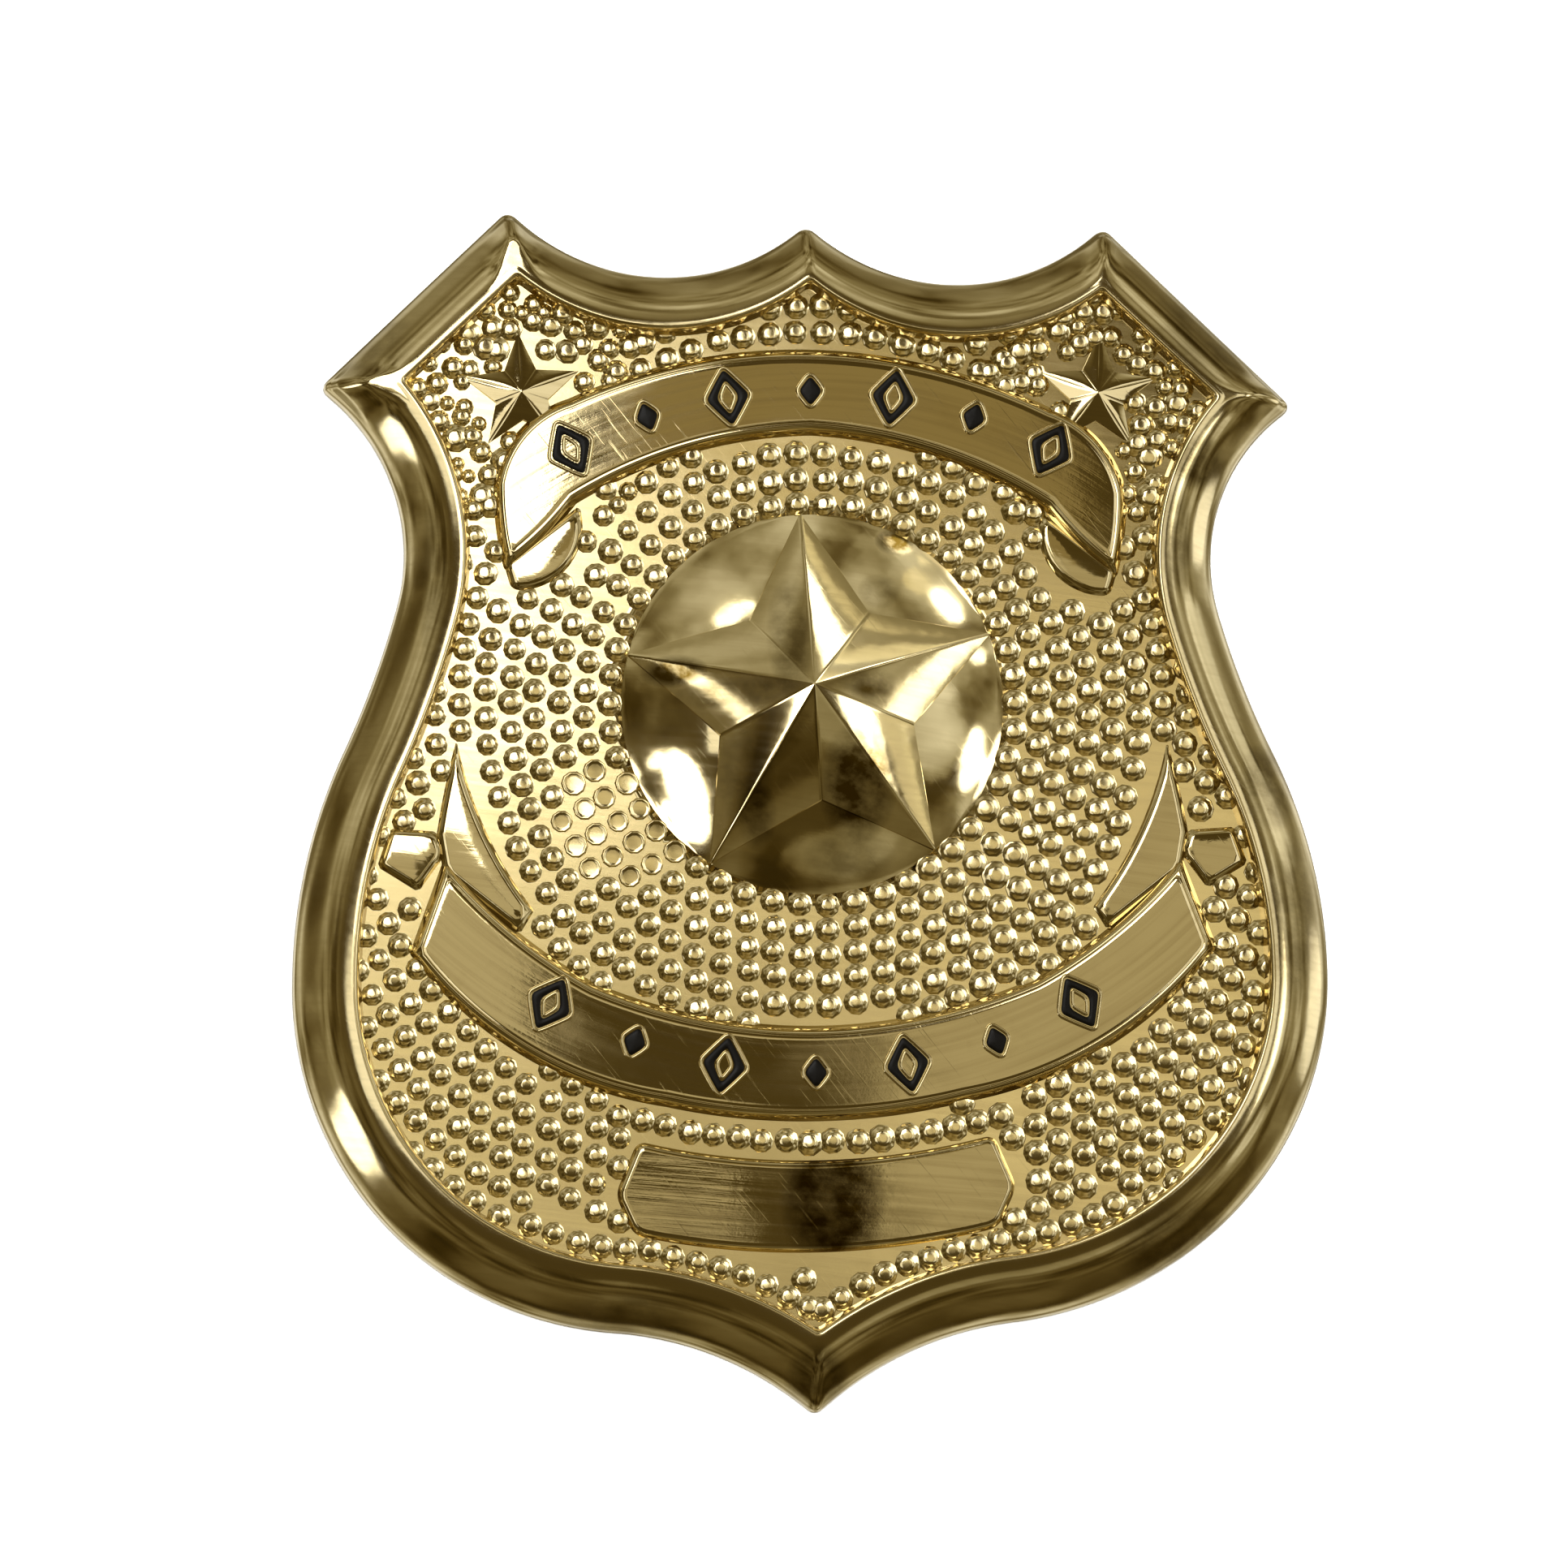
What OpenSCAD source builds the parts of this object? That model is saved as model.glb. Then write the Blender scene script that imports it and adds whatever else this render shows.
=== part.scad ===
// Shield badge, stamped from one sheet and hollow behind, lying face up.
// X runs across the face, Y towards the top and Z out of the face. The back edge is at z = 0.

/* [Shield] */
// Overall height, from the ears to the bottom point
badge_h = 75; // [70:1:80]
// Thickness of the stamped sheet
sheet_t = 0.8; // [0.6:0.05:0.9]
// Height of the rim's crest above the back edge
rim_h = 4.8; // [4.6:0.1:5.4]
// Height of the field between rim and boss above the back edge
field_z = 3.3; // [3.2:0.1:3.4]
// Share of y by which the right side is lower for each millimetre of x
side_taper = 0.0007; // [0:0.0001:0.001]

/* [Banners] */
// Height of both banners above the field
banner_h = 0.7; // [0.5:0.05:0.9]
// Height of the folded ribbon ends above the field
fold_h = 0.4; // [0.25:0.05:0.45]
// Height of the number plate above the field
plate_h = 0.55; // [0.4:0.05:0.8]
// Width of the sloping edge of every raised form
draft_w = 0.22; // [0.1:0.02:0.3]

/* [Boss] */
// Radius of the round boss
boss_r = 11.9; // [11:0.1:12.5]
// Height of the boss's dome above the field
dome_h = 3.2; // [2.6:0.1:3.6]
// Height of the star's apex above the field
star_h = 6.5; // [6:0.1:7.5]
// Turn of the star on the boss, in degrees
star_turn = 3.3; // [0:0.1:6]
// Distance from the star's centre to its inner corners
star_dip_r = 6.3; // [5.5:0.1:6.8]

/* [Enamel] */
// Height of a lozenge ring
lozenge_h = 3.8; // [3.2:0.1:4]
// Width of a lozenge ring
lozenge_w = 2.9; // [2:0.1:3]
// Width of the black line of a lozenge ring
line_w = 0.7; // [0.5:0.05:0.7]
// Depth of the enamel
enamel_t = 0.3; // [0.2:0.05:0.4]

/* [Brooch pin] */
// Length of the base strip
strip_l = 30; // [26:1:32]
// Width of the base strip
strip_w = 4; // [3:0.5:4.5]
// Diameter of the needle
needle_d = 0.9; // [0.7:0.1:1]

/* [Hidden] */

// The tables below are drawn for a badge of this height
drawn_h = 75;
k = badge_h / drawn_h;
// Depth by which a raised form is rooted in the field
root = 0.3;
// Clearance round the enamel, and between the base strip and the shield's back
gap = 0.04;
back_z = field_z - sheet_t;

// Outer edge of the rim, right half from the top point down:
// x, y, bulge of the side that starts here, steps along it, size of the rounded corner
RIM_EDGE = [
    [0,     36.9,  -3.74, 9, 0.7],
    [18.72, 37.3,   0,    1, 0.7],
    [30.56, 25.9,  -2.23, 7, 0.7],
    [25.7,  12.6,  -0.21, 2, 0],
    [29.05, 3.55,   0.76, 4, 0],
    [32.28, -10.36, 2.64, 8, 0],
    [22.8,  -28.6,  0.67, 3, 0],
    [12.45, -32.3, -1.11, 5, 0],
    [0,     -37.8,  0,    0, 0.7],
];
// Inner edge of the rim, where the field starts, with the same columns
FIELD_EDGE = [
    [0,     32.5,  -3.2,  9, 0.35],
    [18.2,  32.3,   0,    1, 0.35],
    [25,    25.9,  -1.75, 7, 0.35],
    [21.7,  11.55, -0.23, 2, 0],
    [25.25, 1.75,   0.65, 4, 0],
    [28,    -10.4,  2.13, 8, 0],
    [20.45, -25.1,  0.54, 3, 0],
    [12.03, -28.1, -0.8,  5, 0],
    [0,     -32.5,  0,    0, 0.35],
];
// Section of the rim's face: share of the way from rim edge to field edge, height
RIM_FACE = [
    [0, 0],
    [0, 0.65],
    [0.04, 1.4],
    [0.13, 2.2],
    [0.27, 3.1],
    [0.45, 3.95],
    [0.58, rim_h - 0.35],
    [0.68, rim_h - 0.08],
    [0.77, rim_h],
    [0.85, rim_h - 0.08],
    [0.89, field_z + 0.85],
    [0.95, field_z + 0.7],
    [1, field_z],
];
// Section of the hollow behind the rim, with the same columns
RIM_BACK = [
    [0.2, -1],
    [0.2, 1.3],
    [0.35, 2.5],
    [0.52, 3.3],
    [0.68, rim_h - sheet_t - 0.25],
    [0.78, rim_h - sheet_t - 0.2],
    [0.86, field_z],
    [0.93, back_z + 0.15],
    [0.98, back_z],
];
// Upper banner, right half from the top down: x, y, bulge, steps, rounded corner
UPPER_BANNER = [
    [0,    28.6,  0.86, 5, 0],
    [15.1, 25.2,  1.0,  5, 0],
    [19.8, 19.8,  0.2,  2, 0],
    [19.1, 14.3,  0.25, 2, 0.4],
    [14.6, 18.6, -1.0,  5, 0],
    [0,    23.1,  0,    0, 0],
];
// Leaf of ribbon that is rolled under the right end of the upper banner
UPPER_CURL = [
    [14.6, 18.5,  0,    1, 0],
    [19.2, 14.9,  0,    1, 0],
    [18.9, 13,    1.2,  6, 0.3],
];
// Lower banner, right half from the top down
LOWER_BANNER = [
    [0,    -13.75, -0.7,  5, 0],
    [13.6, -10.95, -0.6,  4, 0],
    [22.9, -3.15,   0,    1, 0.2],
    [25.1, -9.1,    1.8,  7, 0.2],
    [9.3,  -18.7,   0.27, 3, 0],
    [0,    -19.75,  0,    0, 0],
];
// Pointed ribbon tail behind the right end of the lower banner
LOWER_TAIL = [
    [22.1, 4.2,   0.1, 2, 0.2],
    [23.4, -1.8,  0,   1, 0],
    [23,   -4.2,  0,   1, 0],
    [18.2, -8,    0,   1, 0],
    [17.3, -6.5, -0.7, 5, 0.2],
];
// Short flap of the same ribbon, between the tail and the rim
LOWER_FLAP = [
    [23.3, -1.6, 0, 1, 0],
    [26.3, -1.4, 0, 1, 0],
    [27.1, -3.8, 0, 1, 0],
    [24.5, -5.4, 0, 1, 0],
    [22.8, -3.1, 0, 1, 0],
];
// Number plate, right half from the top down
NUMBER_PLATE = [
    [0,     -22.1,  -0.35, 4, 0],
    [11.05, -20.7,   0,    1, 0.7],
    [12.45, -24,     0,    1, 0.7],
    [11.3,  -26.55,  0.33, 4, 0.7],
    [0,     -27.85,  0,    0, 0],
];
// Centre of the boss
BOSS_AT = [0, 6.3];
// Small star in the right corner of the field: centre, radius to its tips and to its inner corners
CORNER_STAR_AT = [18, 25.8];
corner_star_r = 3.8;
corner_star_dip_r = 1.7;
corner_star_turn = 3;
corner_star_h = 0.9;
// Height of a star's tips above the field
tip_z = 0.3;
star_dip_z = 2.6;
corner_star_dip_z = 0.35;
// Radius of the circle through the middle of each banner, and its centre's y
UPPER_ARC = [32.3, -6.45];
LOWER_ARC = [33.4, 16.65];
// Angle between the enamel figures of each banner, and how many there are
UPPER_FIGURES = [9.2, 7];
LOWER_FIGURES = [9.8, 7];
// Height of a small lozenge, as a share of a lozenge ring
small_share = 0.55;
corner_r = 0.15;

// Brooch pin: height of the strip, of the needle's axis, and its place on the back
strip_t = 0.5;
PIN_AT = [0, 20.2];
needle_z = 0.85;
knuckle_r = 0.75;
knuckle_l = 3.2;
hook_wall = 0.3;
hook_l = 1.4;
needle_point_l = 2.5;

function unit(v) = v / norm(v);
function last(list) = list[len(list) - 1];
function place(row) = [row.x, row.y];

// Points from p towards q, on an arc that stands b out to the left of the way there
function side(p, q, b, steps) =
    let (chord = norm(q - p), way = (q - p) / chord, out = [-way.y, way.x])
    let (half = 2 * atan(2 * b / chord))
    [for (i = [0:steps - 1])
        let (t = i / steps, turn = half * (2 * t - 1))
        b == 0
            ? p + (q - p) * t
            : let (r = chord / 2 / sin(half))
              p + way * (chord / 2 + r * sin(turn)) + out * r * (cos(turn) - cos(half))];

// Four points that round the corner at c, between its neighbours a and b
function rounded(a, c, b, size) =
    let (from = c + unit(a - c) * size, to = c + unit(b - c) * size)
    [for (t = [0, 1 / 3, 2 / 3, 1]) from * (1 - t) ^ 2 + c * 2 * t * (1 - t) + to * t ^ 2];

// Closed outline of a table of rows, clockwise as seen from the front
function trace(rows) =
    let (n = len(rows))
    let (sides = [for (i = [0:n - 1])
        side(place(rows[i]), place(rows[(i + 1) % n]), rows[i][2], rows[i][3])])
    [for (i = [0:n - 1])
        let (own = sides[i], size = rows[i][4])
        let (next = len(own) > 1 ? own[1] : place(rows[(i + 1) % n]))
        each size == 0
            ? own
            : concat(
                rounded(last(sides[(i + n - 1) % n]), own[0], next, size),
                [for (j = [1:1:len(own) - 1]) own[j]]
            )];

// Both halves of a table that gives the right half
function both_halves(rows) =
    let (n = len(rows))
    concat(
        [for (i = [0:n - 2]) rows[i]],
        [for (i = [n - 1:-1:1]) [-rows[i].x, rows[i].y, rows[i - 1][2], rows[i - 1][3], rows[i][4]]]
    );

// The same table on the left of the badge
function on_left(rows) =
    let (n = len(rows))
    [for (i = [n - 1:-1:0])
        [-rows[i].x, rows[i].y, rows[(i + n - 1) % n][2], rows[(i + n - 1) % n][3], rows[i][4]]];

// The die stands a little taller on its left side
function die(points) = [for (p = points) k * [p.x, p.y * (1 - side_taper * p.x)]];

// Outline moved inwards by w
function inset(points, w) =
    let (n = len(points))
    [for (i = [0:n - 1])
        let (a = unit(points[i] - points[(i + n - 1) % n]))
        let (b = unit(points[(i + 1) % n] - points[i]))
        let (way_in = unit([a.y + b.y, -a.x - b.x]))
        points[i] + way_in * w / max(0.6, way_in.x * a.y - way_in.y * a.x)];

function raise(points, z) = [for (p = points) [p.x, p.y, z]];

// Solid through closed rings of equal length, the lowest first, clockwise from above
module loft(rings) {
    n = len(rings[0]);
    top = n * (len(rings) - 1);
    walls = [for (r = [0:len(rings) - 2], i = [0:n - 1])
        let (j = (i + 1) % n)
        each [
            [r * n + i, (r + 1) * n + i, (r + 1) * n + j],
            [r * n + i, (r + 1) * n + j, r * n + j],
        ]];
    floor_face = [for (i = [n - 1:-1:0]) i];
    top_face = [for (i = [0:n - 1]) top + i];
    polyhedron([for (ring = rings) each ring], concat(walls, [floor_face, top_face]));
}

// Solid of the rim's rings for a section table
module rim_loft(section) {
    outer = die(trace(both_halves(RIM_EDGE)));
    inner = die(trace(both_halves(FIELD_EDGE)));
    loft([for (row = section) raise(outer + (inner - outer) * row[0], row[1])]);
}

// Raised form with a sloping edge, rooted in the field
module raised(rows, h) {
    points = die(trace(rows));
    loft([
        raise(points, field_z - root),
        raise(points, field_z),
        raise(inset(points, draft_w), field_z + h),
    ]);
}

// Hollow that a raised form leaves in the back
module sunk(rows, h) {
    translate([0, 0, back_z - 1])
        linear_extrude(h + 1)
            offset(delta = -sheet_t)
                polygon(die(trace(rows)));
}

// Five-pointed star with sharp ridges, from a level below the field up to its apex
module star(tip_r, dip_r, heights, turn, base) {
    corners = [for (i = [0:9])
        let (angle = 90 + turn - 36 * i, r = i % 2 == 0 ? tip_r : dip_r)
        [r * cos(angle), r * sin(angle)]];
    low = raise(corners, base);
    high = [for (i = [0:9]) [corners[i].x, corners[i].y, heights[i % 2]]];
    walls = [for (i = [0:9])
        let (j = (i + 1) % 10)
        each [[i, 10 + i, 10 + j], [i, 10 + j, j], [10 + i, 20, 10 + j]]];
    polyhedron(
        concat(low, high, [[0, 0, heights[2]]]),
        concat(walls, [[for (i = [9:-1:0]) i]])
    );
}

// Dome of height h on radius r, down to the level base
module dome(r, h, base) {
    slant = norm([r, h]);
    bulge = slant / 2 * tan(atan2(h, r) / 2);
    rotate_extrude($fn = 72)
        polygon(concat([[0, base]], side([0, h], [r, 0], bulge, 8), [[r, 0], [r, base]]));
}

module at_boss(z) {
    translate([k * BOSS_AT.x, k * BOSS_AT.y, z]) children();
}

module boss() {
    at_boss(field_z) {
        dome(boss_r, dome_h, -root);
        star(boss_r, star_dip_r, [tip_z, star_dip_z, star_h], star_turn, -root);
    }
}

// Dome and star pressed out from behind, with the sheet's thickness left all over
module boss_hollow() {
    hollow_r = boss_r - sheet_t;
    at_boss(field_z - sheet_t) {
        dome(hollow_r, dome_h * hollow_r / boss_r, -1);
        star(
            boss_r - 2.5 * sheet_t,
            star_dip_r - sheet_t,
            [tip_z, star_dip_z, star_h - 0.35],
            star_turn,
            -1
        );
    }
}

module corner_stars() {
    for (way = [-1, 1])
        translate([way * k * CORNER_STAR_AT.x, k * CORNER_STAR_AT.y, field_z])
            star(
                corner_star_r,
                corner_star_dip_r,
                [tip_z / 3, corner_star_dip_z, corner_star_h],
                -way * corner_star_turn,
                -root
            );
}

module relief() {
    raised(both_halves(UPPER_BANNER), banner_h);
    raised(both_halves(LOWER_BANNER), banner_h);
    raised(both_halves(NUMBER_PLATE), plate_h);
    for (rows = [UPPER_CURL, LOWER_TAIL, LOWER_FLAP]) {
        raised(rows, fold_h);
        raised(on_left(rows), fold_h);
    }
    corner_stars();
    boss();
}

module hollow() {
    rim_loft(RIM_BACK);
    sunk(both_halves(UPPER_BANNER), banner_h);
    sunk(both_halves(LOWER_BANNER), banner_h);
    sunk(both_halves(NUMBER_PLATE), plate_h);
    boss_hollow();
}

// Lozenge with slightly rounded corners, on the plane
module lozenge(w, h) {
    hull()
        for (at = [[w / 2, 0], [-w / 2, 0], [0, h / 2], [0, -h / 2]])
            translate(at * (1 - corner_r / max(w, h)))
                circle(corner_r, $fn = 16);
}

// One enamel figure: a lozenge ring where i is even, a small lozenge where it is odd
module figure(i, play) {
    if (i % 2 == 0)
        difference() {
            lozenge(lozenge_w + 2 * play, lozenge_h + 2 * play);
            lozenge(lozenge_w - 2.5 * line_w - 2 * play, lozenge_h - 2.5 * line_w - 2 * play);
        }
    else
        lozenge(lozenge_w * small_share + 2 * play, lozenge_h * small_share + 2 * play);
}

// Row of figures along a banner's middle arc: above the centre for way 1, below it for way -1
module figures(arc, layout, way, play) {
    for (i = [0:layout[1] - 1])
        translate([0, k * arc[1]])
            rotate(layout[0] * (i - (layout[1] - 1) / 2) * -way)
                translate([0, k * way * arc[0]])
                    figure(i, play);
}

// Enamel of both banners as prisms, from the bottom of its pockets up
module enamel(arc, layout, way, play, h) {
    translate([0, 0, field_z + banner_h - enamel_t - play])
        linear_extrude(h)
            figures(arc, layout, way, play);
}

module shield() {
    color("goldenrod")
        difference() {
            union() {
                rim_loft(RIM_FACE);
                relief();
            }
            hollow();
            enamel(UPPER_ARC, UPPER_FIGURES, 1, gap, 2 * enamel_t);
            enamel(LOWER_ARC, LOWER_FIGURES, -1, gap, 2 * enamel_t);
        }
}

module upper_enamel() {
    color("black")
        enamel(UPPER_ARC, UPPER_FIGURES, 1, 0, enamel_t);
}

module lower_enamel() {
    color("black")
        enamel(LOWER_ARC, LOWER_FIGURES, -1, 0, enamel_t);
}

// Strip with a knuckle at its left end, a hook at its right end and the needle between
module brooch_pin() {
    strip_z = back_z - gap - strip_t;
    end_x = strip_l / 2 - 2;
    color("darkgoldenrod")
        translate([k * PIN_AT.x, k * PIN_AT.y, 0]) {
            translate([-strip_l / 2, -strip_w / 2, strip_z])
                cube([strip_l, strip_w, strip_t]);
            translate([-end_x, knuckle_l / 2, needle_z])
                rotate([90, 0, 0])
                    cylinder(h = knuckle_l, r = knuckle_r, $fn = 32);
            translate([-end_x - knuckle_r, -knuckle_l / 2, needle_z])
                cube([2 * knuckle_r, knuckle_l, strip_z - needle_z + strip_t / 2]);
            translate([-end_x, 0, needle_z])
                rotate([0, 90, 0]) {
                    cylinder(h = 2 * end_x, d = needle_d, $fn = 24);
                    translate([0, 0, 2 * end_x])
                        cylinder(h = needle_point_l, d1 = needle_d, d2 = needle_d / 5, $fn = 24);
                }
            translate([end_x - hook_l / 2, 0, needle_z])
                hook(strip_z);
        }
}

// Open hook that holds the needle's free end, standing on the strip
module hook(strip_z) {
    inner_r = needle_d / 2 + gap;
    outer_r = inner_r + hook_wall;
    rotate([90, 0, 90])
        linear_extrude(hook_l)
            difference() {
                union() {
                    circle(outer_r, $fn = 32);
                    translate([inner_r, 0])
                        square([hook_wall, strip_z - needle_z + strip_t / 2]);
                }
                circle(inner_r, $fn = 32);
                translate([-outer_r - 1, 0])
                    square([outer_r + 1, outer_r + 1]);
            }
}

shield();
upper_enamel();
lower_enamel();
brooch_pin();
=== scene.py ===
"""Looks of a stamped brass shield badge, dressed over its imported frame.

Tables and sizes are in millimetres, as in the part's source; meshes are made in metres.
"""
import logging
import math
from dataclasses import dataclass, replace
from enum import Enum
from functools import cache
from typing import Any, Callable, Iterable, Sequence

import bmesh
import bpy
import numpy as np
from mathutils import Matrix, Vector
from mathutils.geometry import delaunay_2d_cdt


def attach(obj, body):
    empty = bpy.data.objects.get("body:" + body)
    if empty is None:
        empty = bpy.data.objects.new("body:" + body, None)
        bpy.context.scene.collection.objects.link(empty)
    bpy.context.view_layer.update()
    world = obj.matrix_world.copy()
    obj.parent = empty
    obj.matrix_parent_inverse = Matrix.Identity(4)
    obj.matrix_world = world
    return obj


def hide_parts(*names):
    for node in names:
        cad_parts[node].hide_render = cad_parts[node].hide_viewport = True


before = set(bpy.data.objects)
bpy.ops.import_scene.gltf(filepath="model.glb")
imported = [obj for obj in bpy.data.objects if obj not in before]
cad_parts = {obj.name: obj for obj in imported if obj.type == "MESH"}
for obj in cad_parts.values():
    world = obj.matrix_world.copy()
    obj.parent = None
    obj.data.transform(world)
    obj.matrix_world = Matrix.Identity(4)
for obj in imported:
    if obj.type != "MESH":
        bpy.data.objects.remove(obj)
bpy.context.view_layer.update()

log = logging.getLogger("badge")
MM = 0.001
BODY = "root"
SEED = 7
FULL_TURN = 2 * math.pi

# Heights of the stamped sheet, from the plane of the badge's back edge
SHEET_T = 0.8
FIELD_Z = 3.3
BACK_Z = FIELD_Z - SHEET_T
# Share of y that is taken off for each millimetre of x, so that the right side is less tall
SIDE_TAPER = 0.0007
# Depth to which a raised form is rooted in the field
ROOT = 0.05
# Step of a staggered grid's rows, as a share of the step along a row
ROW_SHARE = 0.87
# Centre's y and radius of the arc along each banner's middle; the lower one hangs under its centre
UPPER_ARC = (-6.45, 32.3)
LOWER_ARC = (16.65, -33.4)
# Brightness of surroundings, and the green and blue of their colour for red 1: the dimmer, the warmer
TONES = (
    (0.05, 0.66, 0.14), (0.12, 0.76, 0.3), (0.25, 0.87, 0.52),
    (0.4, 0.93, 0.7), (0.6, 0.97, 0.86), (0.9, 1.0, 1.0),
)

Pair = tuple[float, float]
Triple = tuple[float, float, float]
Table = Sequence[tuple[float, ...]]
HeightMap = Callable[[np.ndarray], np.ndarray]


class Slot(Enum):
    """Material slots of the record."""

    BRASS = "polished_brass"
    ENAMEL = "black_enamel"
    PIN = "pin_metal"


class Node(Enum):
    """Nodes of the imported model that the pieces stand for."""

    SHIELD = "shield"
    UPPER_ENAMEL = "upper_enamel"
    LOWER_ENAMEL = "lower_enamel"
    BROOCH_PIN = "brooch_pin"


def tone(level: float) -> Triple:
    """Returns the colour of surroundings that are as bright as level."""
    bright, green, blue = zip(*TONES)
    return 1.0, float(np.interp(level, bright, green)), float(np.interp(level, bright, blue))


def ease(value: np.ndarray) -> np.ndarray:
    """Returns values clipped to 0..1 and eased at both ends."""
    t = np.clip(value, 0.0, 1.0)
    return t * t * (3.0 - 2.0 * t)


def hump(points: np.ndarray, at: Sequence[float], spread: Sequence[float]) -> np.ndarray:
    """Returns the height at points of a smooth hump of height 1 at a place, with half widths spread."""
    away = (points - np.asarray(at)) / np.asarray(spread)
    return np.exp(-np.sum(away * away, axis=1))


def circle(turns: np.ndarray) -> np.ndarray:
    """Returns the places at the given turns, in radians, round a circle of radius 1."""
    return np.stack([np.cos(turns), np.sin(turns)], axis=1)


def staggered(low: Sequence[float], high: Sequence[float], step: float) -> np.ndarray:
    """Places of a staggered grid on the plane.

    Args:
        low: the grid's lower left corner.
        high: its upper right corner.
        step: distance between neighbours in a row.

    Returns:
        One row of x, y for each place.
    """
    columns = np.arange(low[0], high[0], step)
    rows = np.arange(low[1], high[1], step * ROW_SHARE)
    return np.array([(x + (j % 2) * step / 2, y) for j, y in enumerate(rows) for x in columns])


def inward(ring: np.ndarray) -> np.ndarray:
    """Returns, for each point of a clockwise ring, the unit way to its inside."""
    tangent = np.roll(ring, -1, axis=0) - np.roll(ring, 1, axis=0)
    return np.stack([tangent[:, 1], -tangent[:, 0]], axis=1) / np.linalg.norm(tangent, axis=1)[:, None]


def depth_inside(points: np.ndarray, ring: np.ndarray) -> np.ndarray:
    """Distance of points from a closed ring, above zero inside it and below zero outside.

    Args:
        points: places to measure, one row each.
        ring: the ring's points.

    Returns:
        One distance for each place.
    """
    nearest = np.full(len(points), np.inf)
    crossings = np.zeros(len(points), dtype=int)
    for a, b in zip(ring, np.roll(ring, -1, axis=0)):
        edge, away = b - a, points - a
        share = np.clip(away @ edge / max(edge @ edge, 1e-12), 0.0, 1.0)
        nearest = np.minimum(nearest, np.linalg.norm(away - share[:, None] * edge, axis=1))
        if edge[1] != 0:
            spans = (a[1] > points[:, 1]) != (b[1] > points[:, 1])
            crossings += spans & (a[0] + edge[0] * (points[:, 1] - a[1]) / edge[1] > points[:, 0])
    return np.where(crossings % 2 == 1, nearest, -nearest)


def smooth_rows(rows: Table, steps: int) -> np.ndarray:
    """Draws a smooth curve through a section's rows.

    Args:
        rows: the section's points.
        steps: points for each row of the table.

    Returns:
        The finer section, one row for each point.
    """
    given = np.array(rows, dtype=float)
    padded = np.concatenate([given[:1], given, given[-1:]])
    fine: list[np.ndarray] = []
    for i in range(1, len(given)):
        a, b, c, d = padded[i - 1 : i + 3]
        for t in np.arange(steps) / steps:
            bend = 2 * b + (c - a) * t + (2 * a - 5 * b + 4 * c - d) * t**2 + (3 * b - a - 3 * c + d) * t**3
            fine.append(bend / 2)
    return np.array([*fine, given[-1]])


def scene_object(name: str, data: bpy.types.ID) -> bpy.types.Object:
    """Makes an object and puts it into the scene.

    Args:
        name: the object's name.
        data: the mesh, curve, light or camera that it holds.

    Returns:
        The new object.
    """
    made = bpy.data.objects.new(name, data)
    bpy.context.scene.collection.objects.link(made)
    return made


@dataclass(frozen=True)
class Outline:
    """Closed outline on the plane, clockwise as seen from the front.

    Each row holds x, y, the bulge of the side that starts there and the size of its rounded corner.
    """

    rows: Table
    step: float = 0.45
    corner_steps: int = 6

    def whole(self) -> "Outline":
        """Returns the outline with the left half added to the right half."""
        left = [(-b[0], b[1], a[2], b[3]) for a, b in zip(self.rows[-2::-1], self.rows[:0:-1])]
        return replace(self, rows=(*self.rows[:-1], *left))

    def on_left(self) -> "Outline":
        """Returns the same outline on the left of the badge."""
        pairs = zip(self.rows[::-1], (*self.rows[-2::-1], self.rows[-1]))
        return replace(self, rows=tuple((-a[0], a[1], b[2], a[3]) for a, b in pairs))

    def side_length(self, i: int) -> float:
        """Returns the length of the straight line under side i."""
        a, b = self.rows[i], self.rows[(i + 1) % len(self.rows)]
        return math.hypot(b[0] - a[0], b[1] - a[1])

    def counts(self) -> list[int]:
        """Returns how many steps each side takes."""
        return [max(1, round(self.side_length(i) / self.step)) for i in range(len(self.rows))]

    def side(self, i: int, shares: np.ndarray) -> np.ndarray:
        """Points of side i, an arc that stands its bulge out to the left of its way.

        Args:
            i: number of the row that the side starts at.
            shares: how far along the side each point lies, 0 to 1.

        Returns:
            One row for each point.
        """
        p, q = (np.array(self.rows[k % len(self.rows)][:2]) for k in (i, i + 1))
        bulge, chord = self.rows[i][2], self.side_length(i)
        if bulge == 0:
            return p + (q - p) * shares[:, None]
        way = (q - p) / chord
        out = np.array([-way[1], way[0]])
        half = 2.0 * math.atan(2.0 * bulge / chord)
        radius = chord / 2.0 / math.sin(half)
        turn = half * (2.0 * shares - 1.0)
        along = chord / 2.0 + radius * np.sin(turn)
        beside = radius * (np.cos(turn) - math.cos(half))
        return p + way * along[:, None] + out * beside[:, None]

    def points(self, counts: Sequence[int] | None = None) -> np.ndarray:
        """The outline's points, with its corners rounded and the die's taper.

        Args:
            counts: steps along each side, or None to work them out from the step's length.

        Returns:
            One row for each point, clockwise.
        """
        following = (*self.rows[1:], self.rows[0])
        ways: list[np.ndarray] = []
        for i, count in enumerate(counts or self.counts()):
            length = self.side_length(i)
            shares = np.linspace(self.rows[i][3] / length, 1.0 - following[i][3] / length, count + 1)
            ways.append(self.side(i, shares))
        parts: list[np.ndarray] = []
        t = np.linspace(0.0, 1.0, self.corner_steps + 1)[1:-1, None]
        for way, after, row in zip(ways, (*ways[1:], ways[0]), following):
            if row[3] == 0:
                parts.append(way[:-1])
            else:
                bend = way[-1] * (1 - t) ** 2 + np.array(row[:2]) * 2 * t * (1 - t) + after[0] * t * t
                parts.extend([way, bend])
        xy = np.concatenate(parts)
        return np.stack([xy[:, 0], xy[:, 1] * (1.0 - SIDE_TAPER * xy[:, 0])], axis=1)


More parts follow.
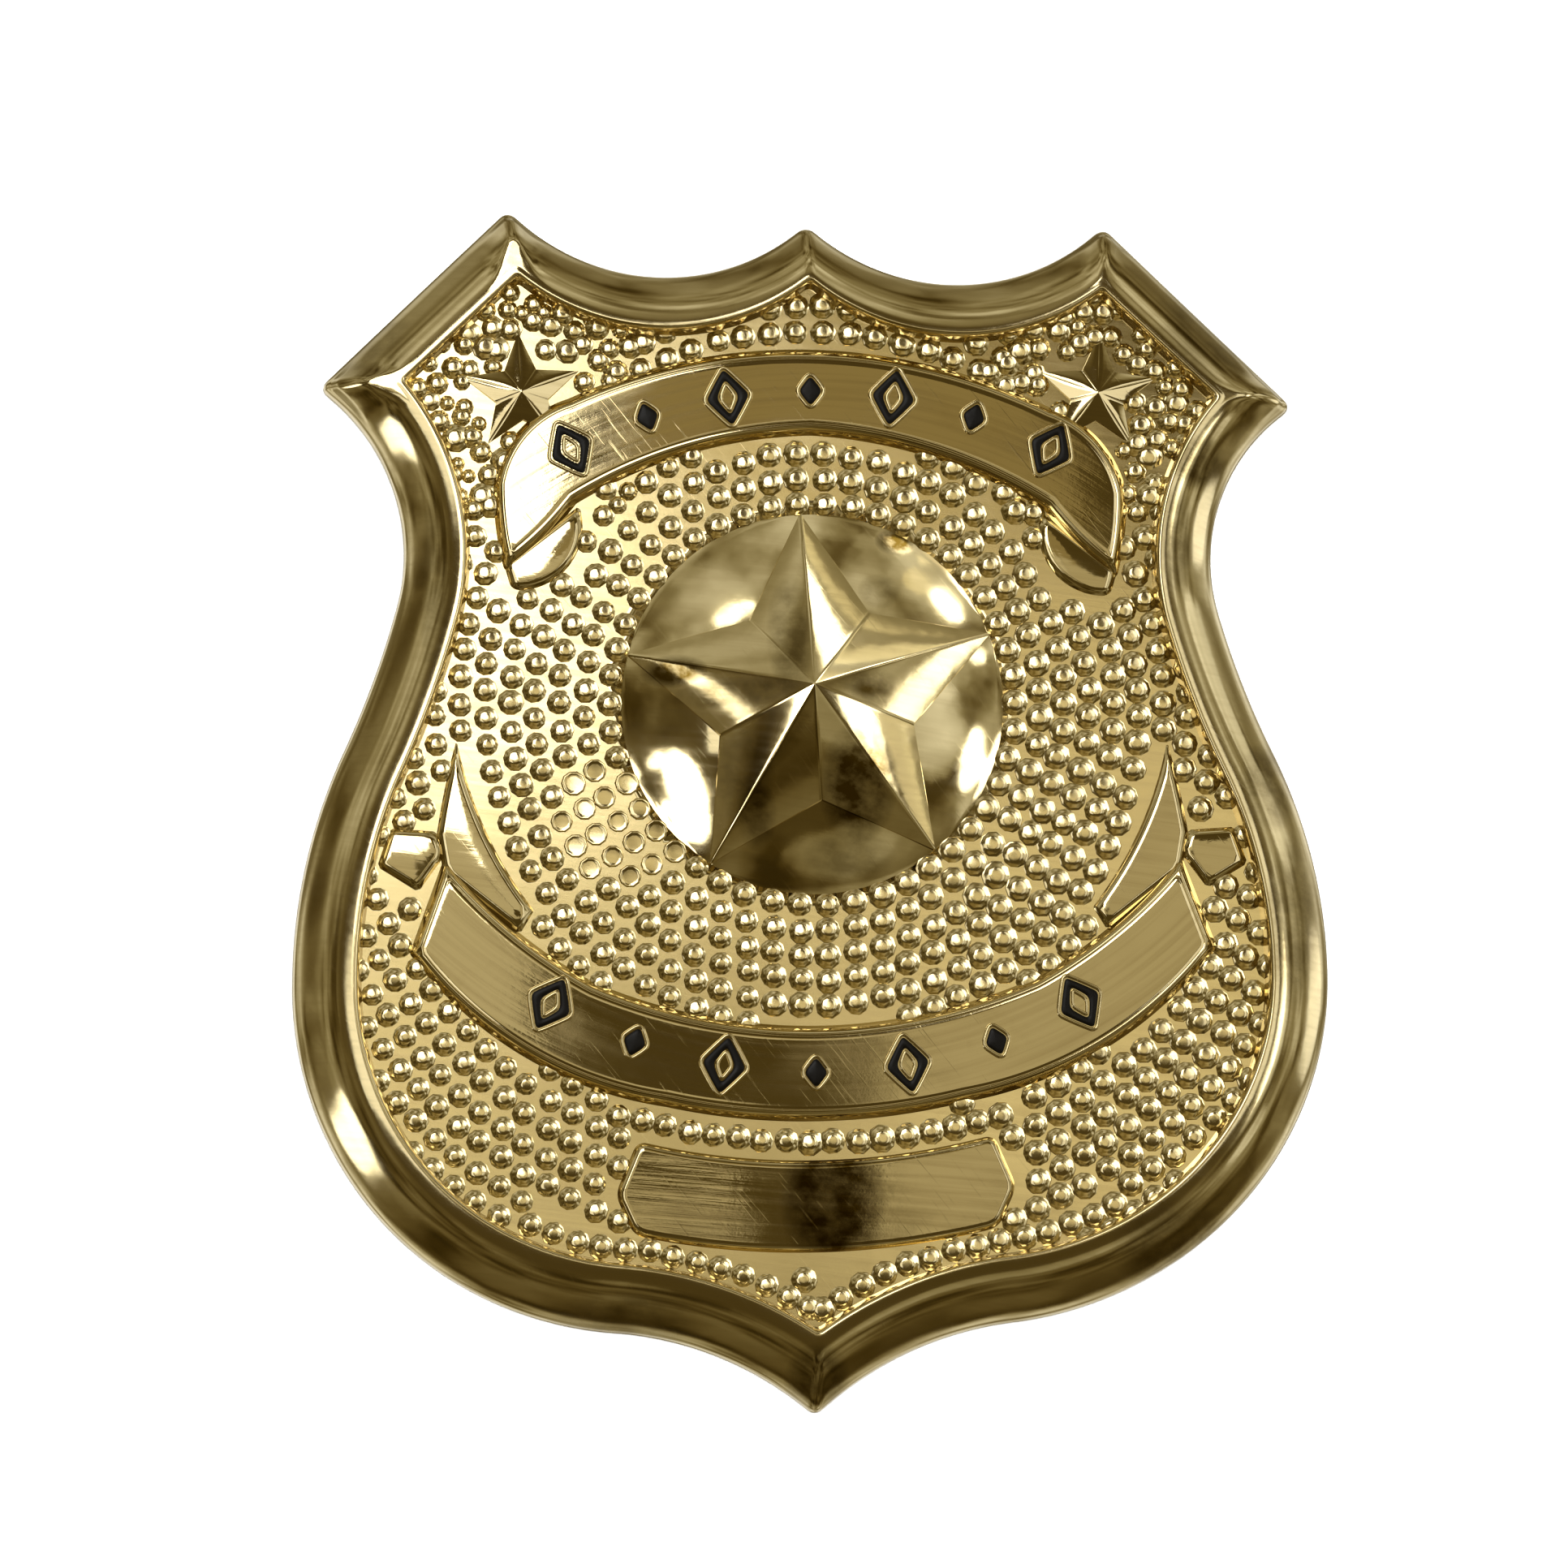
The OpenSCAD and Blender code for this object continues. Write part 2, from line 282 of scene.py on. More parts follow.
class Draft:
    """A closed mesh in the making, with its points in millimetres."""

    def __init__(self) -> None:
        """Starts an empty mesh."""
        self.points: list[Sequence[float]] = []
        self.faces: list[Sequence[int]] = []

    def loop(self, points: Iterable[Sequence[float]]) -> list[int]:
        """Adds points in space.

        Args:
            points: rows of x, y, z.

        Returns:
            The new points' numbers.
        """
        start = len(self.points)
        self.points.extend(points)
        return list(range(start, len(self.points)))

    def ring(self, xy: np.ndarray, z: float | np.ndarray) -> list[int]:
        """Returns the numbers of new points on the plane, with one height z for all or one for each."""
        return self.loop((p[0], p[1], h) for p, h in zip(xy, np.broadcast_to(z, len(xy))))

    def wall(self, low: Sequence[int], high: Sequence[int]) -> None:
        """Joins two closed rings of equal length, given as point numbers."""
        for i, j in zip(range(len(low)), (*range(1, len(low)), 0)):
            self.faces.append((low[i], low[j], high[j], high[i]))

    def fan(self, ring: Sequence[int], centre: Sequence[float]) -> None:
        """Closes a ring, given as point numbers, with triangles round a new point at centre."""
        tip = self.loop([centre])[0]
        self.faces.extend((a, b, tip) for a, b in zip(ring, (*ring[1:], ring[0])))

    def tube(self, rings: Sequence[Sequence[int]]) -> None:
        """Joins each ring to the next one, given as point numbers."""
        for low, high in zip(rings, rings[1:]):
            self.wall(low, high)

    def sheet(
        self,
        rim: Sequence[int],
        height: HeightMap,
        extra: np.ndarray,
        lines: Iterable[tuple[int, int]] = (),
        holes: Sequence[Sequence[int]] = (),
    ) -> None:
        """Fills a ring with triangles through extra points that follow a height map.

        Args:
            rim: numbers of the ring's points.
            height: gives the height at each new point.
            extra: places on the plane of the new points.
            lines: pairs of extra points that an edge has to join.
            holes: rings of point numbers that stay open.
        """
        fixed = [number for ring in (rim, *holes) for number in ring]
        edges: list[tuple[int, int]] = []
        start = 0
        for ring in (rim, *holes):
            edges += [(start + i, start + (i + 1) % len(ring)) for i in range(len(ring))]
            start += len(ring)
        edges += [(start + a, start + b) for a, b in lines]
        places = [Vector(self.points[number][:2]) for number in fixed] + [Vector(p) for p in extra]
        # The filling keeps what is inside, and with 2 it leaves the holes open
        verts, _, faces, source, _, _ = delaunay_2d_cdt(places, edges, [], 2 if holes else 1, 1e-6)
        xy = np.array([v[:] for v in verts])
        numbers: list[int] = []
        for place, z, origin in zip(xy, height(xy), source):
            known = [k for k in origin if k < len(fixed)]
            numbers.append(fixed[known[0]] if known else self.loop([(*place, z)])[0])
        self.faces.extend(tuple(numbers[k] for k in face) for face in faces)

    def build(self, name: str, crease: float = 50.0) -> bpy.types.Object:
        """Makes the mesh an object, closed, facing outwards and shaded smooth.

        Args:
            name: the object's name.
            crease: angle in degrees past which an edge stays sharp.

        Returns:
            The new object, in metres.
        """
        mesh = bpy.data.meshes.new(name)
        mesh.from_pydata([tuple(c * MM for c in p) for p in self.points], [], self.faces)
        work = bmesh.new()
        work.from_mesh(mesh)
        bmesh.ops.remove_doubles(work, verts=work.verts, dist=1e-7)
        bmesh.ops.dissolve_degenerate(work, edges=work.edges, dist=1e-8)
        bmesh.ops.recalc_face_normals(work, faces=work.faces)
        work.to_mesh(mesh)
        work.free()
        mesh.shade_smooth()
        mesh.set_sharp_from_angle(angle=math.radians(crease))
        return scene_object(name, mesh)


class Wire:
    """A node's output that adds Math nodes where it stands in a sum."""

    def __init__(self, sheet: "NodeSheet", socket: bpy.types.NodeSocket | None) -> None:
        """Wraps an output socket of the sheet."""
        self.sheet = sheet
        self.socket = socket

    def math(self, operation: str, *values: "Wire | float", clamp: bool = False) -> "Wire":
        """Returns the result of a new Math node on values, kept within 0 and 1 if clamp is set."""
        settings = {"operation": operation, "use_clamp": clamp}
        return self.sheet.node("ShaderNodeMath", settings, dict(enumerate(values)))

    def __add__(self, other: "Wire | float") -> "Wire":
        """Returns the sum."""
        return self.math("ADD", self, other)

    __radd__ = __add__

    def __sub__(self, other: "Wire | float") -> "Wire":
        """Returns the difference."""
        return self.math("SUBTRACT", self, other)

    def __rsub__(self, other: "Wire | float") -> "Wire":
        """Returns the difference, with this wire taken away."""
        return self.math("SUBTRACT", other, self)

    def __mul__(self, other: "Wire | float") -> "Wire":
        """Returns the product."""
        return self.math("MULTIPLY", self, other)

    __rmul__ = __mul__

    def __pow__(self, other: float) -> "Wire":
        """Returns the power."""
        return self.math("POWER", self, other)

    def ramp(self, low: float, high: float) -> "Wire":
        """Returns 0 at low, 1 at high and a straight, clipped way between."""
        return self.math("MULTIPLY", self - low, 1.0 / (high - low), clamp=True)

    def shows(self, low: float, high: float, strength: float) -> "Wire":
        """Returns 0 at low, strength at high and a straight, clipped way between."""
        return self.ramp(low, high) * strength


class NodeSheet:
    """A node tree, with one method that adds any node."""

    def __init__(self, tree: bpy.types.NodeTree) -> None:
        """Takes the tree that the nodes go into."""
        self.tree = tree

    def node(
        self,
        kind: str,
        settings: dict[str, Any] | None = None,
        inputs: dict[str | int, Any] | None = None,
        output: str | int = 0,
    ) -> Wire:
        """Adds a node.

        Args:
            kind: the node's type.
            settings: its own settings, set first; a ramp's stops go under "stops".
            inputs: values or wires by input name or number.
            output: which output to return.

        Returns:
            The chosen output.
        """
        made = self.tree.nodes.new(kind)
        for key, value in (settings or {}).items():
            if key != "stops":
                setattr(made, key, value)
                continue
            stops = made.color_ramp.elements
            for i, (place, colour) in enumerate(value):
                stop = stops[i] if i < len(stops) else stops.new(place)
                stop.position, stop.color = place, (*colour, 1.0)
        for key, value in (inputs or {}).items():
            socket = made.inputs[key]
            if isinstance(value, Wire):
                self.tree.links.new(value.socket, socket)
            else:
                opaque = isinstance(value, tuple) and socket.type == "RGBA"
                socket.default_value = (*value, 1.0) if opaque else value
        return Wire(self, made.outputs[output] if made.outputs else None)


@dataclass(frozen=True)
class Grain:
    """A noise: the pattern's turn about Z in degrees, its repeats for each metre, and how fine it is."""

    turn: float
    scale: Triple
    detail: float
    roughness: float = 0.5


class ShaderSheet(NodeSheet):
    """The shader tree of a material or a world."""

    def __init__(self, owner: bpy.types.Material | bpy.types.World) -> None:
        """Empties the owner's tree.

        Args:
            owner: the material or world that the sheet is for.
        """
        owner.use_nodes = True
        super().__init__(owner.node_tree)
        self.tree.nodes.clear()

    def axis(self, vector: Wire, name: str) -> Wire:
        """Returns the coordinate X, Y or Z of a vector."""
        return self.node("ShaderNodeSeparateXYZ", None, {"Vector": vector}, name)

    def mix(self, factor: Wire | float, a: Wire | Triple, b: Wire | Triple) -> Wire:
        """Returns the colours a and b mixed, with the given share of b."""
        return self.node("ShaderNodeMix", {"data_type": "RGBA"}, {"Factor": factor, 6: a, 7: b}, 2)

    def noise(self, place: Wire, grain: Grain) -> Wire:
        """Lays a grain on the surface.

        Args:
            place: coordinates in metres.
            grain: the pattern.

        Returns:
            The noise, 0 to 1.
        """
        settings = {"rotation_type": "Z_AXIS"}
        turned = self.node(
            "ShaderNodeVectorRotate", settings, {"Vector": place, "Angle": math.radians(grain.turn)}
        )
        laid = self.node("ShaderNodeVectorMath", {"operation": "MULTIPLY"}, {0: turned, 1: grain.scale})
        fine = {"Scale": 1.0, "Detail": grain.detail, "Roughness": grain.roughness}
        return self.node("ShaderNodeTexNoise", None, {"Vector": laid, **fine})

    def bump(self, height: Wire, depth: float, strength: float, **under: Wire) -> Wire:
        """Returns the normal of a surface that height lifts by up to depth millimetres, over one in under."""
        inputs = {"Strength": strength, "Distance": depth * MM, "Height": height}
        return self.node("ShaderNodeBump", None, {**inputs, **under})

    def surface(self, colour: Wire, roughness: Wire | float, **others: Any) -> Wire:
        """Adds a Principled shader.

        Args:
            colour: its base colour.
            roughness: its roughness.
            others: its further inputs, with _ for a space.

        Returns:
            The shader.
        """
        inputs = {name.replace("_", " "): value for name, value in others.items()}
        return self.node(
            "ShaderNodeBsdfPrincipled", None, {"Base Color": colour, "Roughness": roughness, **inputs}
        )


@dataclass(frozen=True)
class Finish:
    """A finish that gives one procedural material, made once."""

    name: str

    @cache
    def material(self) -> bpy.types.Material:
        """Makes the finish's material at the first call.

        Returns:
            The material.
        """
        made = bpy.data.materials.new(self.name)
        sheet = ShaderSheet(made)
        place = sheet.node("ShaderNodeTexCoord", output="Object")
        sheet.node("ShaderNodeOutputMaterial", inputs={"Surface": self.shader(sheet, place)})
        return made

    def shader(self, sheet: ShaderSheet, place: Wire) -> Wire:
        """Returns the finish's shader on the sheet, for object coordinates in place."""
        raise NotImplementedError


@dataclass(frozen=True)
class PolishedBrass(Finish):
    """Gold-tone brass, brushed fine and worn, with painted shade low down at the field and the foot of raised
    forms, and painted dark reflections where given.
    """

    roughness: float = 0.05
    brush_depth: float = 0.15
    # Straight brush lines, or the centre's y and the radius of the arc that they follow
    brush: Grain = Grain(8.0, (90, 2600, 400), 3.0)
    brush_arc: Pair | None = None
    # Depth in millimetres of the unevenness that polish left
    waver: float = 0.0
    # Painted dark reflections: x and y of the middle, half widths, strength
    painted_reflections: Table = ()
    colour: Triple = (0.84, 0.7, 0.38)
    # Tarnish colour, which also paints the shade low down at the field and the foot of raised forms
    tarnish: Triple = (0.36, 0.24, 0.07)
    # Colour of the painted dark reflections
    reflection_colour: Triple = (0.13, 0.08, 0.012)
    arc_brush: Grain = Grain(0.0, (60, 2400, 300), 3.0)
    scratches: Grain = Grain(52.0, (220, 6200, 600), 2.0)
    blotches: Grain = Grain(0.0, (150, 210, 150), 4.0)
    patches: Grain = Grain(30.0, (420, 420, 420), 5.0, 0.65)
    mottles: Grain = Grain(25.0, (520, 640, 520), 5.0, 0.6)
    swells: Grain = Grain(40.0, (330, 330, 330), 2.0)
    # Painted shade at the field and the foot of raised forms: how dark it is, and the heights above the field
    # between which it fades
    foot_shade: float = 0.08
    foot: Pair = (-0.02, 0.3)
    # Noise at which a pattern starts to tell, noise at which it is full, and then its strength if it has one
    scratch_tells: Pair = (0.64, 0.74)
    brush_tells: Pair = (0.42, 0.72)
    brush_dulls: float = 0.75
    blotch_dulls: Triple = (0.5, 0.8, 0.12)
    patch_dulls: Triple = (0.58, 0.75, 0.1)
    blotch_roughens: Triple = (0.45, 0.75, 0.05)
    brush_roughens: Triple = (0.4, 0.7, 0.03)
    scratch_roughens: float = 0.03
    scratch_depth: float = 0.06
    patch_depth: float = 0.3
    mark_depth: float = 0.02
    mark_strength: float = 0.35
    # A painted dark reflection's level in its middle before it is clipped, its even share, and how a mottle
    # breaks the rest
    reflection_core: float = 1.35
    reflection_even: float = 0.45
    reflection_broken: Triple = (0.33, 0.62, 0.85)

    def brush_place(self, sheet: ShaderSheet, place: Wire) -> Wire:
        """Bends the coordinates round the arc of the brush lines.

        Args:
            sheet: the material's sheet.
            place: object coordinates.

        Returns:
            Coordinates that run along the arc and across it.
        """
        centre_y, radius = (value * MM for value in self.brush_arc)
        x, y, z = (sheet.axis(place, name) for name in "XYZ")
        up = y - centre_y
        along = x.math("ARCTAN2", x, up * math.copysign(1.0, radius)) * abs(radius)
        across = (x * x + up * up) ** 0.5
        return sheet.node("ShaderNodeCombineXYZ", None, {"X": along, "Y": across, "Z": z})

    def painted_reflection_share(self, sheet: ShaderSheet, place: Wire) -> Wire:
        """Lays the painted dark reflections, broken up by a mottle.

        Args:
            sheet: the material's sheet.
            place: object coordinates.

        Returns:
            How much painted dark reflection each place has, 0 to 1.
        """
        x, y = (sheet.axis(place, name) for name in "XY")
        total: Wire | float = 0.0
        for at_x, at_y, wide, high, strength in self.painted_reflections:
            across, up = (x - at_x * MM) * (1 / MM / wide), (y - at_y * MM) * (1 / MM / high)
            total = (self.reflection_core - across * across - up * up).shows(0.0, 1.0, strength) + total
        mottle = sheet.noise(place, self.mottles)
        return (total * (self.reflection_even + mottle.shows(*self.reflection_broken))).ramp(0.0, 1.0)

    def shader(self, sheet: ShaderSheet, place: Wire) -> Wire:
        """Mixes the brass.

        Args:
            sheet: the material's sheet.
            place: object coordinates.

        Returns:
            The shader.
        """
        if self.brush_arc is None:
            brush = sheet.noise(place, self.brush)
        else:
            brush = sheet.noise(self.brush_place(sheet, place), self.arc_brush)
        scratch = sheet.noise(place, self.scratches).ramp(*self.scratch_tells)
        blotch = sheet.noise(place, self.blotches)
        patch = sheet.noise(place, self.patches)
        # Painted shade: the base colour darkens towards the tarnish colour low down, at the field and the
        # foot of raised forms
        foot = 1 - sheet.axis(place, "Z").ramp(*((FIELD_Z + z) * MM for z in self.foot))
        marks = brush.ramp(*self.brush_tells) * self.brush_depth * self.brush_dulls
        dull_and_shade = foot * self.foot_shade + blotch.shows(*self.blotch_dulls) + patch.shows(*self.patch_dulls) + marks
        base = sheet.mix(dull_and_shade, self.colour, self.tarnish)
        # Painted dark reflections darken the base colour where they are given
        if self.painted_reflections:
            base = sheet.mix(self.painted_reflection_share(sheet, place), base, self.reflection_colour)
        rough = self.roughness + blotch.shows(*self.blotch_roughens) + brush.shows(*self.brush_roughens)
        rough = rough + scratch * self.scratch_roughens
        height = brush * self.brush_depth + scratch * self.scratch_depth + patch * self.patch_depth
        bump = sheet.bump(height, self.mark_depth, self.mark_strength)
        if self.waver:
            bump = sheet.bump(sheet.noise(place, self.swells), self.waver, 1.0, Normal=bump)
        return sheet.surface(base, rough, Metallic=1.0, Normal=bump)


@dataclass(frozen=True)
class BlackEnamel(Finish):
    """Hard black enamel paint with a soft gloss and specks of dust."""

    colour: Triple = (0.005, 0.0035, 0.0015)
    dust: Triple = (0.05, 0.038, 0.015)
    clouds: Grain = Grain(0.0, (900, 900, 900), 3.0)
    specks: Grain = Grain(20.0, (5200, 5200, 5200), 2.0)
    speck_shows: Triple = (0.68, 0.74, 0.4)
    cloud_shows: float = 0.08
    roughness: float = 0.24
    cloud_roughens: float = 0.2
    cloud_depth: float = 0.03
    cloud_strength: float = 0.3
    gloss: float = 0.22

    def shader(self, sheet: ShaderSheet, place: Wire) -> Wire:
        """Mixes the enamel.

        Args:
            sheet: the material's sheet.
            place: object coordinates.

        Returns:
            The shader.
        """
        cloud = sheet.noise(place, self.clouds)
        dusty = sheet.noise(place, self.specks).shows(*self.speck_shows) + cloud * self.cloud_shows
        base = sheet.mix(dusty, self.colour, self.dust)
        rough = self.roughness + cloud * self.cloud_roughens
        bump = sheet.bump(cloud, self.cloud_depth, self.cloud_strength)
        return sheet.surface(base, rough, Normal=bump, Specular_IOR_Level=self.gloss)


@dataclass(frozen=True)
class SatinBrass(Finish):
    """Satin brass of the brooch pin, lightly tarnished, with draw marks along it."""

    colour: Triple = (0.74, 0.56, 0.27)
    tarnish: Triple = (0.3, 0.19, 0.06)
    draw_marks: Grain = Grain(0.0, (80, 4200, 4200), 3.0)
    clouds: Grain = Grain(15.0, (260, 260, 260), 4.0)
    cloud_shows: Triple = (0.35, 0.75, 0.5)
    roughness: float = 0.26
    draw_roughens: float = 0.16
    cloud_roughens: float = 0.1
    draw_depth: float = 0.03
    draw_strength: float = 0.4

    def shader(self, sheet: ShaderSheet, place: Wire) -> Wire:
        """Mixes the satin brass.

        Args:
            sheet: the material's sheet.
            place: object coordinates.

        Returns:
            The shader.
        """
        draw = sheet.noise(place, self.draw_marks)
        cloud = sheet.noise(place, self.clouds)
        base = sheet.mix(cloud.shows(*self.cloud_shows), self.colour, self.tarnish)
        rough = self.roughness + draw * self.draw_roughens + cloud * self.cloud_roughens
        bump = sheet.bump(draw, self.draw_depth, self.draw_strength)
        return sheet.surface(base, rough, Metallic=1.0, Normal=bump)


@dataclass(frozen=True)
class PaleFloor(Finish):
    """Matt white paper, with the faintest mottle."""

    fibres: Grain = Grain(0.0, (300, 300, 300), 4.0)
    darkest: Triple = (0.86, 0.86, 0.85)
    palest: Triple = (0.9, 0.9, 0.89)
    roughness: float = 0.9

    def shader(self, sheet: ShaderSheet, place: Wire) -> Wire:
        """Returns the paper on the sheet, for object coordinates in place."""
        base = sheet.mix(sheet.noise(place, self.fibres), self.darkest, self.palest)
        return sheet.surface(base, self.roughness)


def wearers(finish: str) -> bpy.types.Collection:
    """Returns the collection of all pieces that wear the named finish, for lights that reach only them."""
    name = f"in_{finish}"
    return bpy.data.collections.get(name) or bpy.data.collections.new(name)


def finish_piece(
    piece: bpy.types.Object, finish: Finish, node: Node = Node.SHIELD
) -> None:
    """Dresses a piece and ties it to the frame.

    Args:
        piece: the finished object.
        finish: its material.
        node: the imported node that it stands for.
    """
    piece.data.materials.clear()
    piece.data.materials.append(finish.material())
    wearers(finish.name).objects.link(piece)
    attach(piece, BODY)
    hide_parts(node.value)
    log.info("%s: %d faces", piece.name, len(piece.data.polygons))


@dataclass(frozen=True)
class Rim:
    """Rolled rim of the shield: a ring with a rounded crest, hollow behind."""

    finish: Finish
    edge: Outline = Outline((
        (0, 36.9, -3.74, 0.7), (18.72, 37.3, 0, 0.7), (30.56, 25.9, -2.23, 0.7), (25.7, 12.6, -0.21, 0),
        (29.05, 3.55, 0.76, 0), (32.28, -10.36, 2.64, 0), (22.8, -28.6, 0.67, 0), (12.45, -32.3, -1.11, 0),
        (0, -37.8, 0, 0.7),
    )).whole()
    foot: Outline = Outline((
        (0, 32.5, -3.2, 0.35), (18.2, 32.3, 0, 0.35), (25, 25.9, -1.75, 0.35), (21.7, 11.55, -0.23, 0),
        (25.25, 1.75, 0.65, 0), (28, -10.4, 2.13, 0), (20.45, -25.1, 0.54, 0), (12.03, -28.1, -0.8, 0),
        (0, -32.5, 0, 0.35),
    )).whole()
    # Share of the way from the outer edge to the field, height
    face: Table = (
        (0.0, 0.6), (0.012, 0.95), (0.04, 1.4), (0.13, 2.17), (0.27, 3.03), (0.4, 3.74), (0.5, 4.16),
        (0.6, 4.45), (0.69, 4.62), (0.76, 4.71), (0.82, 4.77), (0.87, 4.8), (0.905, 4.79), (0.93, 4.71),
        (0.95, 4.5), (0.966, 4.15), (0.982, 3.7), (1.0, 3.27),
    )
    back: Table = (
        (0.98, 2.5), (0.93, 2.65), (0.86, 3.3), (0.78, 3.8), (0.68, 3.75), (0.52, 3.3), (0.35, 2.5),
        (0.24, 1.5), (0.2, 0.9),
    )
    face_steps: int = 3
    back_steps: int = 2
    # Fuller corners: x, y of the middle, its half widths, and how much it stands out
    corners: Table = (
        (-18.5, 35.3, 1.1, 1.8, 0.8), (18.5, 35.3, 1.0, 1.6, 0.5),
        (-28.3, 25.9, 1.9, 1.1, 0.8), (28.3, 25.9, 1.6, 1.0, 0.6),
    )
    # Part of the face that the corners fill, and the height that they reach
    full_part: Pair = (0.1, 0.86)
    full_z: float = 4.77

    def rings(self) -> tuple[np.ndarray, np.ndarray]:
        """Returns the outer edge and the field's edge, point by point."""
        counts = self.edge.counts()
        return self.edge.points(counts), self.foot.points(counts)

    def fuller(self, xy: np.ndarray, z: float) -> np.ndarray:
        """Returns the height z of the face with the fuller corners added, for places on the plane."""
        lift = sum(hump(xy, row[:2], row[2:4]) * row[4] for row in self.corners)
        return np.minimum(z + lift, np.maximum(z, self.full_z))

    def build(self) -> None:
        """Makes the rim."""
        outer, inner = self.rings()
        draft = Draft()
        face = smooth_rows(self.face, self.face_steps)
        back = smooth_rows(self.back, self.back_steps)
        section = [(0.0, 0.0), *face, (1.0, BACK_Z), *back, (self.back[-1][0], 0.0)]
        rings = []
        for i, (share, z) in enumerate(section):
            xy = outer + (inner - outer) * share
            facing = 1 <= i <= len(face) and self.full_part[0] < share < self.full_part[1]
            rings.append(draft.ring(xy, self.fuller(xy, z) if facing else z))
        draft.tube([*rings, rings[0]])
        finish_piece(draft.build("shield_rim"), self.finish)


@dataclass(frozen=True)
class Relief:
    """One raised form of the field, with a sloping edge and, on a banner, a fine border line."""

    name: str
    finish: Finish
    outline: Outline
    height: float
    # Distance from the form's edge, share of its height
    edge: Table = (
        (0.0, 0.0), (0.06, 0.06), (0.13, 0.22), (0.22, 0.45), (0.33, 0.68), (0.45, 0.86), (0.54, 0.95),
        (0.6, 0.985), (0.66, 0.98), (0.71, 0.965), (0.77, 0.97), (0.83, 0.99), (0.92, 1.0), (1.05, 1.0),
    )
    grid: float = 0.8
    # Share of a ring's distance that its points keep from the edge, and its longest join in steps
    ring_keeps: float = 0.97
    longest_join: float = 3.0
    # How far the grid keeps from the last ring, as a share of its step
    grid_keeps: float = 0.4

    def height_at(self, xy: np.ndarray, ring: np.ndarray) -> np.ndarray:
        """Returns the height of the face at places on the plane, for the ring of its outline."""
        distances, shares = zip(*self.edge)
        return FIELD_Z + self.height * np.interp(depth_inside(xy, ring), distances, shares)

    def inner_places(self, ring: np.ndarray) -> tuple[np.ndarray, list[tuple[int, int]]]:
        """Places for the face's points: rings that follow the edge, then a staggered grid.

        Args:
            ring: the form's outline.

        Returns:
            The places, and the pairs of them that an edge has to join.
        """
        places: list[np.ndarray] = []
        lines: list[tuple[int, int]] = []
        way_in = inward(ring)
        total = 0
        for distance, _ in self.edge[1:]:
            moved = ring + way_in * distance
            kept = np.nonzero(depth_inside(moved, ring) > distance * self.ring_keeps)[0]
            if len(kept) < 3:
                break
            for i, (a, b) in enumerate(zip(kept, np.roll(kept, -1))):
                if np.linalg.norm(moved[a] - moved[b]) < self.longest_join * self.outline.step:
                    lines.append((total + i, total + (i + 1) % len(kept)))
            places.append(moved[kept])
            total += len(kept)
        cells = staggered(ring.min(axis=0), ring.max(axis=0), self.grid)
        places.append(cells[depth_inside(cells, ring) > self.edge[-1][0] + self.grid * self.grid_keeps])
        return np.concatenate(places), lines

    def build(self) -> None:
        """Makes the form."""
        ring = self.outline.points()
        draft = Draft()
        foot = draft.ring(ring, FIELD_Z - ROOT)
        places, lines = self.inner_places(ring)
        draft.sheet(foot, lambda xy: self.height_at(xy, ring), places, lines)
        draft.sheet(foot, lambda xy: np.full(len(xy), FIELD_Z - ROOT), np.empty((0, 2)))
        finish_piece(draft.build(self.name), self.finish)


# Edge of the number plate, a narrow slope
PLATE_EDGE: Table = (
    (0.0, 0.0), (0.05, 0.12), (0.11, 0.38), (0.18, 0.66), (0.26, 0.86), (0.35, 0.96), (0.45, 1.0),
    (0.6, 1.0), (0.9, 0.998),
)
# Edge of a ribbon's fold, a soft slope round a leaf that is a little dished
FOLD_EDGE: Table = (
    (0.0, 0.0), (0.08, 0.14), (0.17, 0.42), (0.26, 0.7), (0.36, 0.88), (0.47, 0.97), (0.58, 1.0),
    (1.7, 0.98),
)

# What brings the peaks of a facet's swell and of a ray's bow to 1
FACET_PEAK = 27
BOW_PEAK = 4


